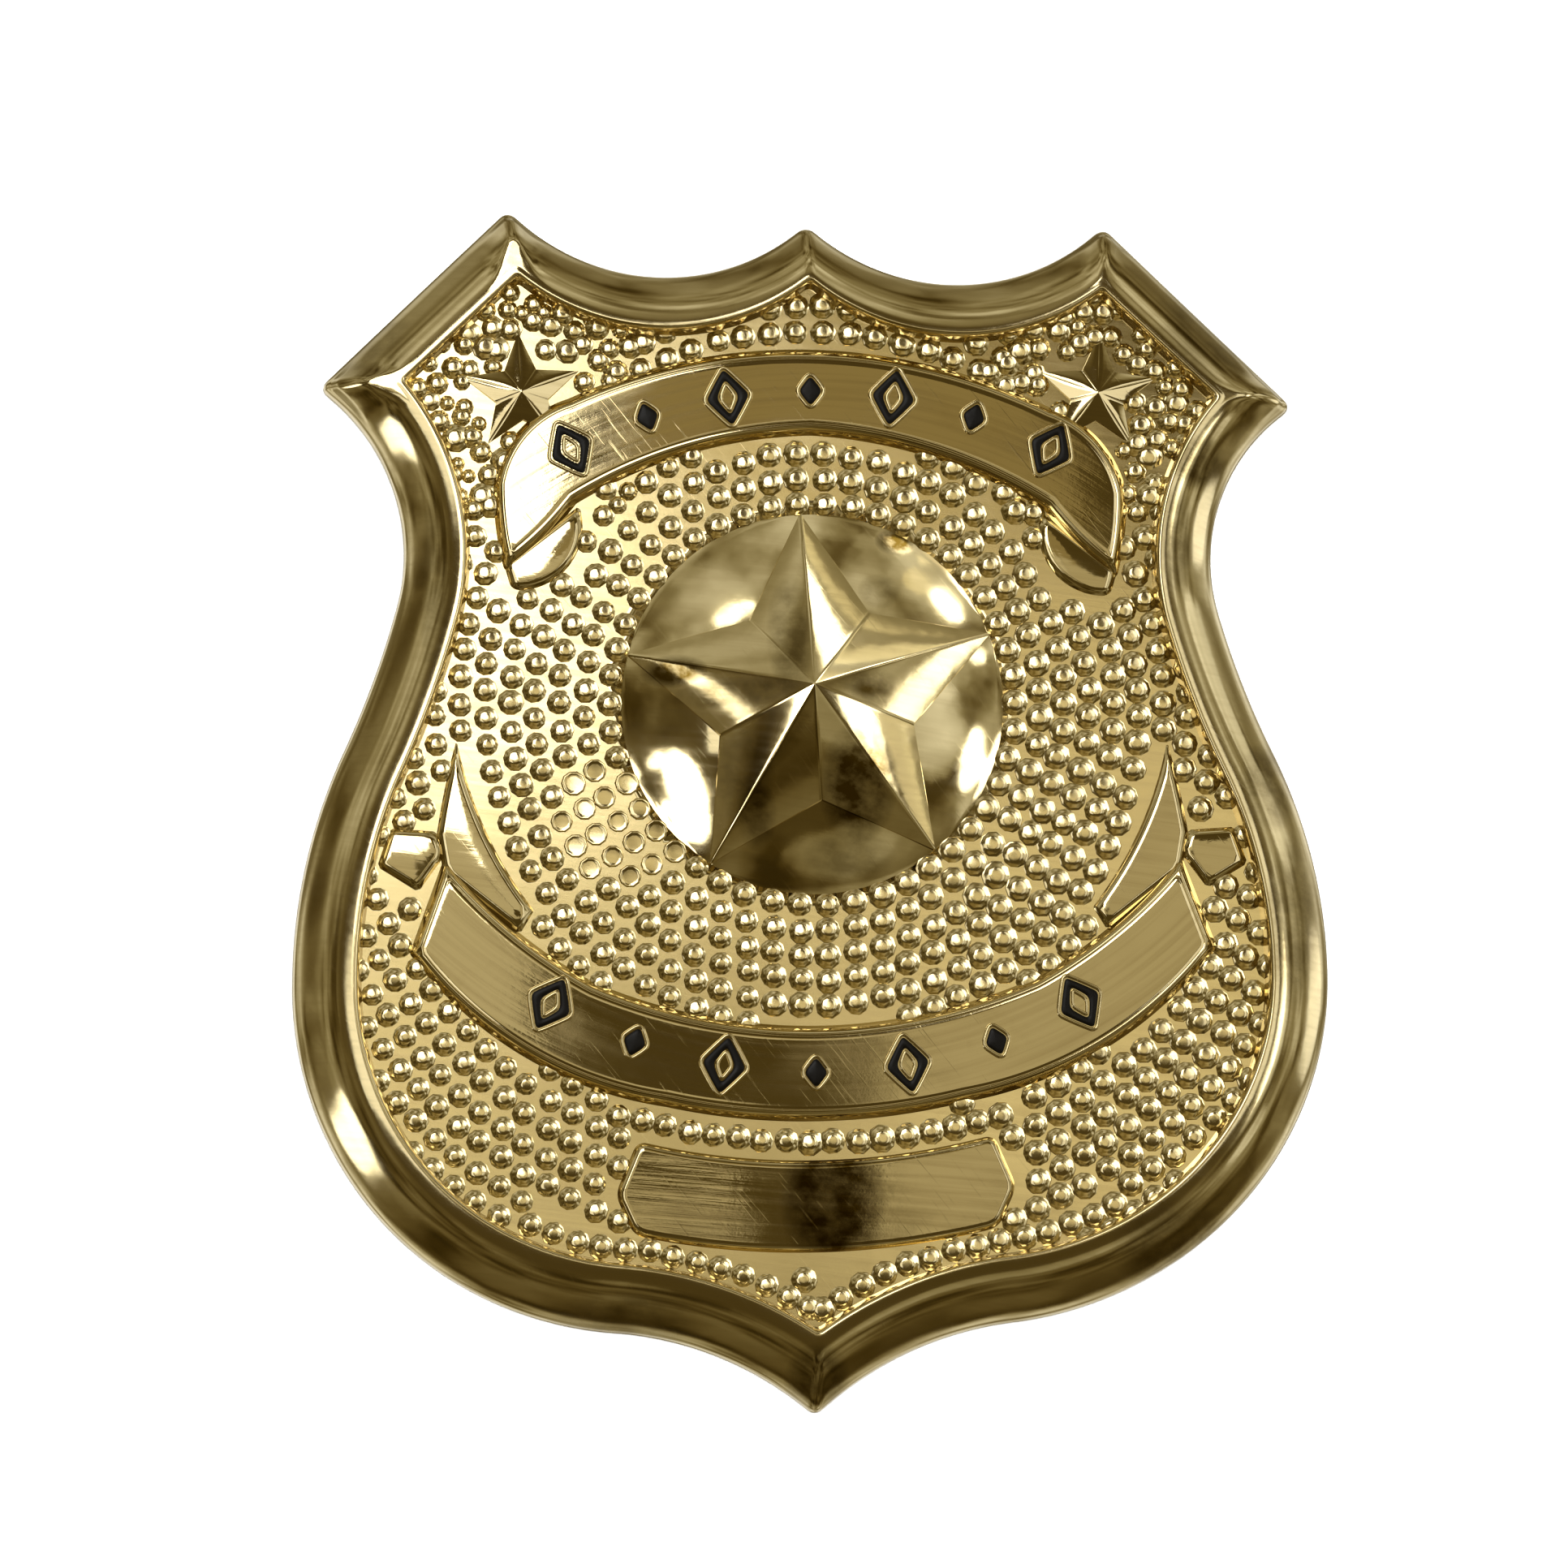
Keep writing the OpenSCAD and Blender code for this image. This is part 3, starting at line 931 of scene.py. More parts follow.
@dataclass(frozen=True)
class StarFace:
    """A five-pointed star of ten facets, with rounded ridges, drawn as rays from its apex."""

    tip_r: float
    dip_r: float
    # Heights of the tips, the inner corners and the apex
    heights: Triple
    turn: float
    ridge_w: float = 0.16
    # How far the middle of every facet swells, and how far all rays bow
    bulge: float = 0.0
    bow: float = 0.0
    # Place of the apex beside the star's middle
    apex_at: Pair = (0.0, 0.0)
    # Share of the way from a tip to the next inner corner at which a ray meets the edge
    rays: tuple[float, ...] = (
        0.0, 0.012, 0.03, 0.06, 0.12, 0.22, 0.36, 0.5, 0.64, 0.78, 0.88, 0.94, 0.975, 0.99
    )
    # What rounding takes off a ridge and puts into a valley, as shares of its width
    ridge_off: float = 0.17
    valley_in: float = 0.13
    # How fast the rounding comes on along a ray, from the apex outwards
    sharp_rise: float = 3.0

    def shares(self) -> tuple[tuple[float, ...], tuple[float, ...]]:
        """Returns the rays' shares of a side that leaves a tip, and of one that leaves an inner corner."""
        return self.rays, (0.0, *(1.0 - share for share in reversed(self.rays[1:])))

    def edge(self) -> np.ndarray:
        """Draws the star's edge.

        Returns:
            One row of x, y, z for each ray, clockwise.
        """
        corners = []
        for i in range(10):
            angle = math.radians(90 + self.turn - 36 * i)
            r = self.dip_r if i % 2 else self.tip_r
            corners.append(np.array([r * math.cos(angle), r * math.sin(angle), self.heights[i % 2]]))
        sides = enumerate(zip(corners, (*corners[1:], corners[0])))
        return np.array([a + (b - a) * share for i, (a, b) in sides for share in self.shares()[i % 2]])

    def ridge_drop(self, xy: np.ndarray) -> np.ndarray:
        """How much the rounding of ridges and valleys lowers each place.

        Args:
            xy: places on the plane, from the star's middle.

        Returns:
            One drop for each place, below zero where a valley is filled.
        """
        drop = np.zeros(len(xy))
        away = xy - np.array(self.apex_at)
        corners = self.edge()[:: len(self.rays), :2] - np.array(self.apex_at)
        for i, corner in enumerate(corners):
            way = corner / np.linalg.norm(corner)
            beside = np.abs(away @ np.array([-way[1], way[0]]))
            near = np.clip(1 - beside / self.ridge_w, 0, 1) ** 2 * (away @ way > 0)
            drop += near * self.ridge_w * (-self.valley_in if i % 2 else self.ridge_off)
        return drop

    def face(self, edge: np.ndarray, shares: Iterable[float]) -> list[np.ndarray]:
        """Rings of the star's face from its apex outwards.

        Args:
            edge: the star's edge, one row of x, y, z for each ray.
            shares: how far along the rays each ring lies.

        Returns:
            One array of x, y, z for each ring.
        """
        apex = np.array([*self.apex_at, self.heights[2]])
        across = np.concatenate(self.shares())
        swell = np.tile(across * (1 - across), 5)
        rings = []
        for share in shares:
            ring = apex + (edge - apex) * share
            ring[:, 2] -= self.ridge_drop(ring[:, :2]) * min(1.0, self.sharp_rise * share)
            bulging = FACET_PEAK * self.bulge * (1 - share) * share**2 * swell
            ring[:, 2] += bulging + BOW_PEAK * self.bow * share * (1 - share)
            rings.append(ring)
        return rings


@dataclass(frozen=True)
class Boss:
    """Domed boss with the large star, pressed out from behind."""

    finish: Finish
    at: Pair = (0.0, 6.3)
    radius: float = 11.9
    dome_h: float = 3.2
    star: StarFace = StarFace(
        11.9, 6.3, (0.45, 2.8, 6.5), 3.3, ridge_w=0.1, bulge=0.02, bow=0.2, apex_at=(-0.25, 0.45)
    )
    # How far the star's edge stands out of the dome, and where the dome goes on beside it and under it
    star_stands: float = 0.03
    dome_beside: float = 0.05
    dome_under: float = 0.02
    # Where rings lie, as shares of the way from the apex to the star's edge and from there to the dome's
    face_shares: tuple[float, ...] = (0.01, 0.03, 0.06, *np.linspace(0.1, 0.985, 22), 1.0)
    dome_shares: tuple[float, ...] = (0.0, 0.015, 0.05, 0.12, *np.linspace(0.2, 1.0, 16))
    # The dome's foot in the field: distance past its radius, height
    foot: Table = ((0.1, -0.01), (0.25, -0.08))
    # The hollow's star: heights of its tips and inner corners, drop of its apex, width of its ridges
    hollow_heights: Pair = (0.3, 2.6)
    hollow_drop: float = 0.35
    # How far inside the boss's edge the hollow's tips end, in thicknesses of the sheet
    hollow_tip_in: float = 2.5
    # Rings of the hollow's dome, and where those of its star lie, from its edge to its apex
    hollow_dome_rings: int = 12
    hollow_shares: tuple[float, ...] = tuple(np.linspace(0.98, 0.02, 16))
    hollow_ridge_w: float = 0.3

    def dome(self, r: np.ndarray) -> np.ndarray:
        """Returns the dome's height above the field at distances r from its centre."""
        curve = (self.radius**2 + self.dome_h**2) / (2 * self.dome_h)
        return np.sqrt(np.maximum(curve**2 - r**2, 0.0)) - (curve - self.dome_h)

    def front(self) -> list[np.ndarray]:
        """Draws the boss's face.

        Returns:
            Its rings from the apex outwards, with heights above the field.
        """
        edge = self.star.edge()
        reach = np.linalg.norm(edge[:, :2], axis=1)
        edge[:, 2] = np.maximum(edge[:, 2], self.dome(reach) + self.star_stands)
        rings = self.star.face(edge, self.face_shares)
        way = edge[:, :2] / reach[:, None]
        room = np.maximum(self.radius - reach, 0.0)
        for share in self.dome_shares:
            r = reach + room * share + self.dome_beside
            z = self.dome(np.minimum(r, self.radius)) - self.dome_under
            rings.append(np.column_stack([way * r[:, None], z]))
        for out, z in self.foot:
            rings.append(np.column_stack([way * (self.radius + out), np.full(len(way), z)]))
        return rings

    def back(self) -> list[np.ndarray]:
        """Draws the hollow behind the boss.

        Returns:
            Its rings from its edge inwards, with heights above the field.
        """
        tip_r, dip_r = self.radius - self.hollow_tip_in * SHEET_T, self.star.dip_r - SHEET_T
        heights = (*self.hollow_heights, self.star.heights[2] - self.hollow_drop)
        apex_at = self.star.apex_at
        star = StarFace(tip_r, dip_r, heights, self.star.turn, ridge_w=self.hollow_ridge_w, apex_at=apex_at)
        edge = star.edge()
        reach = np.linalg.norm(edge[:, :2], axis=1)
        way = edge[:, :2] / reach[:, None]
        hollow_r = self.radius - SHEET_T
        scale = self.radius / hollow_r
        rings = []
        for share in np.linspace(1.0, 0.0, self.hollow_dome_rings):
            r = reach + (hollow_r - reach) * share
            rings.append(np.column_stack([way * r[:, None], self.dome(r * scale) / scale]))
        edge[:, 2] = np.maximum(edge[:, 2], self.dome(reach * scale) / scale)
        rings += star.face(edge, self.hollow_shares)
        return [ring - (0.0, 0.0, SHEET_T) for ring in rings]

    def build(self) -> None:
        """Makes the boss."""
        draft = Draft()
        rings = [draft.loop(ring + (*self.at, FIELD_Z)) for ring in (*self.front(), *self.back())]
        draft.tube(rings)
        apex = [a + b for a, b in zip(self.at, self.star.apex_at)]
        top = self.star.heights[2]
        draft.fan(rings[0], (*apex, FIELD_Z + top - self.dome_under))
        draft.fan(rings[-1], (*apex, FIELD_Z + (top - self.hollow_drop - SHEET_T)))
        finish_piece(draft.build("boss_star", crease=12.0), self.finish)


@dataclass(frozen=True)
class CornerStar:
    """Small star in an upper corner of the field."""

    name: str
    finish: Finish
    at: Pair
    star: StarFace
    rings: tuple[float, ...] = (0.04, 0.15, 0.3, 0.5, 0.7, 0.88, 0.97, 1.0)
    # The skirt under its edge: how much wider it is, and its heights
    skirt_share: float = 1.015
    skirt: Pair = (-0.02, -ROOT)

    def build(self) -> None:
        """Makes the star."""
        edge = self.star.edge()
        draft = Draft()
        rings = self.star.face(edge, self.rings)
        for z in self.skirt:
            rings.append(np.column_stack([edge[:, :2] * self.skirt_share, np.full(len(edge), z)]))
        numbers = [draft.loop(ring + (*self.at, FIELD_Z)) for ring in rings]
        draft.tube(numbers)
        draft.fan(numbers[0], (*self.at, FIELD_Z + self.star.heights[2]))
        draft.fan(numbers[-1], (*self.at, FIELD_Z - ROOT))
        finish_piece(draft.build(self.name), self.finish)


@dataclass(frozen=True)
class Field:
    """Sheet between the rim and the boss, whose back follows the raised forms."""

    finish: Finish
    rim: Rim
    boss: Boss
    forms: tuple[Relief, ...]
    # How far the sheet goes under the rim and under the boss
    rim_overlap: float = 0.07
    boss_overlap: float = 0.1
    hole_sides: int = 96
    # Distance between inner points, and how near to an edge they come
    grid: float = 0.75
    clear: float = 0.4
    # Width of the slope where the back rises behind a form, and the share of its height that it rises
    soft: float = 0.9
    risen: float = 0.95

    def back_height(self, xy: np.ndarray) -> np.ndarray:
        """Height of the sheet's back.

        Args:
            xy: places on the plane.

        Returns:
            One height for each place.
        """
        z = np.full(len(xy), BACK_Z)
        for form in self.forms:
            depth = depth_inside(xy, form.outline.points())
            z = np.maximum(z, BACK_Z + form.height * self.risen * ease((depth - SHEET_T / 2) / self.soft))
        return z

    def build(self) -> None:
        """Makes the field."""
        outer = self.rim.rings()[1]
        outer = outer - inward(outer) * self.rim_overlap
        hole = circle(np.linspace(0, -FULL_TURN, self.hole_sides + 1)[:-1])
        hole = hole * (self.boss.radius - self.boss_overlap) + np.array(self.boss.at)
        cells = staggered(outer.min(axis=0), outer.max(axis=0), self.grid)
        cells = cells[(depth_inside(cells, outer) > self.clear) & (depth_inside(cells, hole) < -self.clear)]
        draft = Draft()
        top, top_hole = draft.ring(outer, FIELD_Z), draft.ring(hole, FIELD_Z)
        under, under_hole = draft.ring(outer, BACK_Z), draft.ring(hole, BACK_Z)
        draft.sheet(top, lambda xy: np.full(len(xy), FIELD_Z), cells, holes=[top_hole])
        draft.sheet(under, self.back_height, cells, holes=[under_hole])
        draft.wall(top, under)
        draft.wall(top_hole, under_hole)
        finish_piece(draft.build("shield_field"), self.finish)


class GeometryTree(NodeSheet):
    """A Geometry Nodes tree with named inputs, ending in Realize Instances and Set Material."""

    def __init__(self, name: str) -> None:
        """Starts a tree with a geometry input and output.

        Args:
            name: the tree's name.
        """
        super().__init__(bpy.data.node_groups.new(name, "GeometryNodeTree"))
        for way in ("INPUT", "OUTPUT"):
            self.tree.interface.new_socket("Geometry", in_out=way, socket_type="NodeSocketGeometry")
        self.keys: dict[str, str] = {}
        self.entry = self.tree.nodes.new("NodeGroupInput")

    def given(self, name: str) -> Wire:
        """Returns the tree's input of that name, as its nodes see it."""
        return Wire(self, self.entry.outputs[name])

    def named_input(self, name: str, kind: str) -> Wire:
        """Adds an input to the tree.

        Args:
            name: what the input is called.
            kind: its socket type.

        Returns:
            The input, as the tree's nodes see it.
        """
        item = self.tree.interface.new_socket(name, in_out="INPUT", socket_type=f"NodeSocket{kind}")
        self.keys[name] = item.identifier
        return self.given(name)

    def close(self, shape: Wire, material: Wire) -> None:
        """Ends the tree.

        Args:
            shape: what is realized, shaded smooth and dressed.
            material: what it is dressed in.
        """
        real = self.node("GeometryNodeRealizeInstances", None, {"Geometry": shape})
        smooth = self.node("GeometryNodeSetShadeSmooth", None, {"Geometry": real, "Shade Smooth": True})
        dressed = self.node("GeometryNodeSetMaterial", None, {"Geometry": smooth, "Material": material})
        self.node("NodeGroupOutput", None, {"Geometry": dressed})

    def run(self, carrier: bpy.types.Object, name: str, values: dict[str, Any]) -> bpy.types.Object:
        """Runs the tree on an object.

        Args:
            carrier: the object that gives the points or curves; it is removed.
            name: the result's name.
            values: the named inputs' values.

        Returns:
            The result as a plain mesh object.
        """
        modifier = carrier.modifiers.new("shape", "NODES")
        modifier.node_group = self.tree
        for key, value in values.items():
            modifier[self.keys[key]] = value
        evaluated = carrier.evaluated_get(bpy.context.evaluated_depsgraph_get())
        mesh = bpy.data.meshes.new_from_object(evaluated)
        mesh.name = name
        bpy.data.objects.remove(carrier)
        return scene_object(name, mesh)


@dataclass(frozen=True)
class BeadGround:
    """Stippled ground: rings of beads round the boss, rows along two edges, pebbles in the upper corners."""

    finish: Finish
    rim: Rim
    boss: Boss
    forms: tuple[Relief, ...]
    stars: tuple[CornerStar, ...]
    first_r: float = 12.6
    ring_step: float = 1.55
    first_count: int = 46
    more_per_ring: int = 6
    ring_count: int = 27
    # How far a bead's middle keeps inside the rim, from a banner's edge, and from the edge of a lower form
    rim_gap: float = -0.5
    form_gap: float = -0.15
    fold_gap: float = 0.35
    banner_h: float = 0.5
    # Where the rough upper corners start beside the middle and above it, and how far they take to be full
    rough_from: Pair = (9.0, 15.0)
    rough_over: Pair = (4.0, 5.0)
    # Roughness past which pebbles take the beads' place, and how worn a bead is before it is a disc
    rough_share: float = 0.5
    worn_share: float = 0.5
    # Part of the plane with the pebbles that fill those corners, and their step
    pebble_low: Pair = (-27.0, 15.0)
    pebble_high: Pair = (27.0, 33.0)
    pebble_step: float = 1.3
    # Rows of beads that follow an edge: their step, their start, and how near no other bead is set
    row_step: float = 1.5
    row_start: float = 0.3
    row_points: int = 60
    row_clear: float = 1.25
    # The row on the number plate's top: its half length, its y in the middle and how it rises outwards
    plate_row: Triple = (12.5, -20.95, 0.0112)
    # The row along the shield's foot: distance from its edge, the y under which it lies, and its half width
    foot_row: Triple = (0.8, -24.5, 19.0)
    # Beads worn to flat discs, and low ones: x and y of the middle, half widths
    worn_spot: Table = ((-12.1, -1.2), (5.2, 4.6))
    low_spot: Table = ((11.5, -2.5), (4.5, 4.5))
    lower: float = 0.45
    bead_r: float = 0.79
    height: float = 0.23
    worn_height: float = 0.1
    sides: int = 10
    # How much wider beads are on the right and narrower on the left, and over what distance that comes
    wider: Pair = (0.06, 8.0)
    # Spread of radius, height and place, and mean and spread of what the rough corners add
    radius_spread: float = 0.03
    rough_radius: Pair = (-0.1, 0.12)
    height_spread: float = 0.04
    rough_height: Pair = (0.15, 0.2)
    place_spread: float = 0.03
    rough_place: float = 0.2
    lean: float = 0.06
    # How far a bead's middle stands over its last ring, as a share of its height
    bead_top: float = 0.01
    # Distance from the bead's axis, height, as shares of its radius and height
    section: Table = (
        (1.1, -0.08), (1.04, 0.01), (0.95, 0.1), (0.84, 0.34), (0.7, 0.68), (0.56, 0.89), (0.4, 0.985),
        (0.2, 1.0),
    )
    worn_section: Table = ((1.0, -0.3), (0.97, 0.3), (0.91, 0.92), (0.83, 1.0), (0.74, 0.82), (0.55, 0.76))

    def roughened(self, xy: np.ndarray) -> np.ndarray:
        """Returns how rough the ground is at places on the plane, 1 in the upper corners and 0 below."""
        beside, above = (np.stack([np.abs(xy[:, 0]), xy[:, 1]]).T - self.rough_from).T
        return ease(beside / self.rough_over[0]) * ease(above / self.rough_over[1])

    def pebbles(self) -> np.ndarray:
        """Returns the places of the close pebbles in the upper corners."""
        cells = staggered(self.pebble_low, self.pebble_high, self.pebble_step)
        return cells[self.roughened(cells) > self.rough_share]

    def rings(self) -> np.ndarray:
        """Lays rings of beads round the boss, each half a step on from the last.

        Returns:
            One row for each bead.
        """
        found = []
        for i in range(self.ring_count):
            count = self.first_count + self.more_per_ring * i
            turn = math.pi + (np.arange(count) + 0.5 * (i % 2)) * FULL_TURN / count
            found.append(circle(turn) * (self.first_r + self.ring_step * i) + np.array(self.boss.at))
        return np.concatenate(found)

    def rows(self) -> np.ndarray:
        """Lays the beads that follow the number plate's top and the shield's foot.

        Returns:
            One row for each bead.
        """
        half, middle, rise = self.plate_row
        x = np.linspace(-half, half, self.row_points)
        above_plate = np.stack([x, middle + rise * x * x], axis=1)
        inset, below, wide = self.foot_row
        ring = self.rim.rings()[1]
        ring = ring + inward(ring) * inset
        foot = ring[(ring[:, 1] < below) & (np.abs(ring[:, 0]) < wide)]
        placed = []
        for path in (above_plate, foot):
            steps = np.concatenate([[0.0], np.cumsum(np.linalg.norm(np.diff(path, axis=0), axis=1))])
            at = np.arange(self.row_start, steps[-1], self.row_step)
            placed.append(np.stack([np.interp(at, steps, path[:, k]) for k in (0, 1)], axis=1))
        return np.concatenate(placed)

    def places(self) -> np.ndarray:
        """Lays out the beads of the whole plane.

        Returns:
            One row for each bead: rings, rows, then pebbles.
        """
        rows, free = self.rows(), self.rings()
        free = free[self.roughened(free) <= self.rough_share]
        apart = np.linalg.norm(free[:, None] - rows[None], axis=2).min(axis=1)
        return np.concatenate([free[apart > self.row_clear], rows, self.pebbles()])

    def clear(self, xy: np.ndarray) -> np.ndarray:
        """Leaves out the beads that the rim or a raised form covers.

        Args:
            xy: the beads' places.

        Returns:
            The places that stay.
        """
        keep = depth_inside(xy, self.rim.rings()[1]) > self.rim_gap
        for form in self.forms:
            gap = self.form_gap if form.height > self.banner_h else self.fold_gap
            keep &= depth_inside(xy, form.outline.points()) < -gap
        for star in self.stars:
            keep &= depth_inside(xy, star.star.edge()[:, :2] + np.array(star.at)) < -self.fold_gap
        return xy[keep]

    def sizes(self, xy: np.ndarray, height: float, rng: np.random.Generator) -> np.ndarray:
        """Scale of each bead along the three axes, with rougher differences in the upper corners.

        Args:
            xy: the beads' places.
            height: their mean height.
            rng: source of their small differences.

        Returns:
            One row of radius, radius and height in millimetres for each bead.
        """
        count, rough = len(xy), self.roughened(xy)
        wider = self.wider[0] * np.tanh(xy[:, 0] / self.wider[1])
        spread = rng.normal(0, self.radius_spread, count) + rough * rng.normal(*self.rough_radius, count)
        radius = self.bead_r * (1 + wider + spread)
        spread = rng.normal(0, self.height_spread, count) + rough * rng.normal(*self.rough_height, count)
        rise = height * (1 + spread) * (1 - self.lower * hump(xy, *self.low_spot))
        return np.stack([radius, radius, rise], axis=1)

    def bead(self, section: Table) -> bpy.types.Object:
        """Makes one bead of radius 1 and height 1, its foot below the field.

        Args:
            section: distance from its axis, height.

        Returns:
            The bead as an object.
        """
        draft = Draft()
        corners = circle(np.linspace(0, FULL_TURN, self.sides + 1)[:-1])
        rings = [draft.ring(corners * r, z) for r, z in section]
        draft.tube(rings)
        draft.fan(rings[-1], (0, 0, section[-1][1] + self.bead_top))
        draft.faces.append(tuple(rings[0]))
        return draft.build("one_bead", crease=180)

    def tree(self) -> GeometryTree:
        """Draws the node tree that sets a slightly leaning bead on every point.

        Returns:
            The tree.
        """
        made = GeometryTree("bead_ground")
        bead = made.named_input("Bead", "Object")
        seed = made.named_input("Seed", "Int")
        lean = made.named_input("Lean", "Float")
        material = made.named_input("Material", "Material")
        shape = made.node("GeometryNodeObjectInfo", None, {"Object": bead}, "Geometry")
        kind = {"data_type": "FLOAT_VECTOR"}
        scale = made.node("GeometryNodeInputNamedAttribute", kind, {"Name": "bead_size"})
        low, high = (
            made.node("ShaderNodeVectorMath", {"operation": "SCALE"}, {"Vector": way, "Scale": lean})
            for way in ((-1, -1, 0), (1, 1, 0))
        )
        turn = made.node("FunctionNodeRandomValue", kind, {0: low, 1: high, "Seed": seed})
        laid = {"Points": made.given("Geometry"), "Instance": shape, "Rotation": turn, "Scale": scale}
        made.close(made.node("GeometryNodeInstanceOnPoints", None, laid), material)
        return made

    def lay(self, name: str, xy: np.ndarray, scales: np.ndarray, section: Table) -> None:
        """Lays beads on the field as one piece.

        Args:
            name: the piece's name.
            xy: the beads' places.
            scales: their sizes, one row each.
            section: the section of a bead.
        """
        mesh = bpy.data.meshes.new(f"{name}_places")
        mesh.from_pydata([(x * MM, y * MM, FIELD_Z * MM) for x, y in xy], [], [])
        sizes = mesh.attributes.new("bead_size", "FLOAT_VECTOR", "POINT")
        sizes.data.foreach_set("vector", scales.ravel())
        bead = self.bead(section)
        values = {"Bead": bead, "Seed": SEED, "Lean": self.lean, "Material": self.finish.material()}
        piece = self.tree().run(scene_object(mesh.name, mesh), name, values)
        bpy.data.objects.remove(bead)
        log.info("%s: %d beads", name, len(xy))
        finish_piece(piece, self.finish)

    def build(self) -> None:
        """Makes the round beads and the worn ones."""
        rng = np.random.default_rng(SEED)
        xy = self.clear(self.places())
        spread = self.place_spread + self.rough_place * self.roughened(xy)
        xy = xy + rng.normal(0, 1, xy.shape) * spread[:, None]
        worn = hump(xy, *self.worn_spot) > self.worn_share
        for name, kept, height, section in (
            ("field_beads", xy[~worn], self.height, self.section),
            ("worn_beads", xy[worn], self.worn_height, self.worn_section),
        ):
            self.lay(name, kept, self.sizes(kept, height, rng), section)


@dataclass(frozen=True)
class FigureRow:
    """Row of enamel figures along a banner's middle arc, each in a thin raised lip."""

    name: str
    enamel: Finish
    brass: Finish
    node: Node
    banner: Relief
    # Centre's y and radius of the arc, and the angle between the figures in degrees
    arc: Pair
    angle: float
    count: int = 7
    lozenge_w: float = 2.9
    lozenge_h: float = 3.8
    line_w: float = 0.7
    small_share: float = 0.55
    # Thickness taken off a lozenge for its inner outline, in lines, and how high a small one's middle is
    ring_lines: float = 2.5
    small_top: float = 0.055
    corner_r: float = 0.15
    side_bulge: float = 0.03
    side_steps: int = 10
    # Section of the enamel: share of the way from the outer edge to the inner one, depth under the banner
    section: Table = ((0.0, 0.3), (0.0, 0.06), (0.08, 0.01), (0.25, -0.03), (0.5, -0.05))
    # Size of a small lozenge's middle, which its section leads to
    middle_share: float = 0.15
    lip_r: float = 0.12
    lip_sides: int = 8
    lip_out: float = 0.8

    def lozenge(self, width: float, height: float) -> np.ndarray:
        """Draws a lozenge with slightly rounded corners round the origin.

        Args:
            width: its width.
            height: its height.

        Returns:
            Its outline, clockwise.
        """
        corners = ((0, height / 2), (width / 2, 0), (0, -height / 2), (-width / 2, 0))
        table = tuple((*corner, self.side_bulge, self.corner_r * 2) for corner in corners)
        return Outline(table, corner_steps=5).points([self.side_steps] * 4)

    def figure(self, i: int) -> list[np.ndarray]:
        """Places a figure.

        Args:
            i: its number in the row.

        Returns:
            Its outlines: outer, then inner if it is a ring.
        """
        inner = self.ring_lines * self.line_w
        sizes = [(self.lozenge_w, self.lozenge_h), (self.lozenge_w - inner, self.lozenge_h - inner)]
        if i % 2:
            sizes = [(self.lozenge_w * self.small_share, self.lozenge_h * self.small_share)]
        centre_y, radius = self.arc
        turn = math.radians(self.angle * (i - (self.count - 1) / 2) * -math.copysign(1, radius))
        c, s = math.cos(turn), math.sin(turn)
        upright = [self.lozenge(*size) + np.array([0, radius]) for size in sizes]
        return [ring @ np.array([[c, s], [-s, c]]) + np.array([0, centre_y]) for ring in upright]

    def build_enamel(self) -> None:
        """Makes the row's enamel."""
        draft = Draft()
        banner = self.banner.outline.points()
        for i in range(self.count):
            outer, *inner = self.figure(i)
            middle = outer.mean(axis=0)
            section = list(self.section)
            if inner:
                section += [(1 - share, drop) for share, drop in self.section[-2::-1]]
            else:
                inner = [outer * self.middle_share + middle * (1 - self.middle_share)]
            top = self.banner.height_at(outer, banner).mean()
            rings = [draft.ring(outer + (inner[0] - outer) * share, top - drop) for share, drop in section]
            draft.tube(rings)
            if i % 2:
                draft.fan(rings[-1], (*middle, top + self.small_top))
                draft.fan(rings[0], (*middle, top - self.section[0][1]))
            else:
                draft.wall(rings[-1], rings[0])
        finish_piece(draft.build(self.name), self.enamel, self.node)

    def lip_paths(self) -> bpy.types.Object:
        """Draws the paths of the lips round the row's figures.

        Returns:
            An object with one closed curve for each lip.
        """
        banner = self.banner.outline.points()
        curve = bpy.data.curves.new(f"{self.name}_paths", "CURVE")
        curve.dimensions = "3D"
        for i in range(self.count):
            for loop, out in zip(self.figure(i), (-self.lip_out, self.lip_out)):
                moved = loop + inward(loop) * self.lip_r * out
                spline = curve.splines.new("POLY")
                spline.points.add(len(moved) - 1)
                spline.use_cyclic_u = True
                for point, (x, y), z in zip(spline.points, moved, self.banner.height_at(moved, banner)):
                    point.co = (x * MM, y * MM, z * MM, 1)
        return scene_object(curve.name, curve)

    def build_lips(self) -> None:
        """Makes the thin raised edges round the row's figures."""
        made = GeometryTree("figure_lip")
        radius = made.named_input("Lip radius", "Float")
        sides = made.named_input("Sides", "Int")
        material = made.named_input("Material", "Material")
        profile = made.node("GeometryNodeCurvePrimitiveCircle", None, {"Resolution": sides, "Radius": radius})
        swept = {"Curve": made.given("Geometry"), "Profile Curve": profile}
        made.close(made.node("GeometryNodeCurveToMesh", None, swept), material)
        values = {"Lip radius": self.lip_r * MM, "Sides": self.lip_sides, "Material": self.brass.material()}
        finish_piece(made.run(self.lip_paths(), f"{self.name}_lips", values), self.brass)


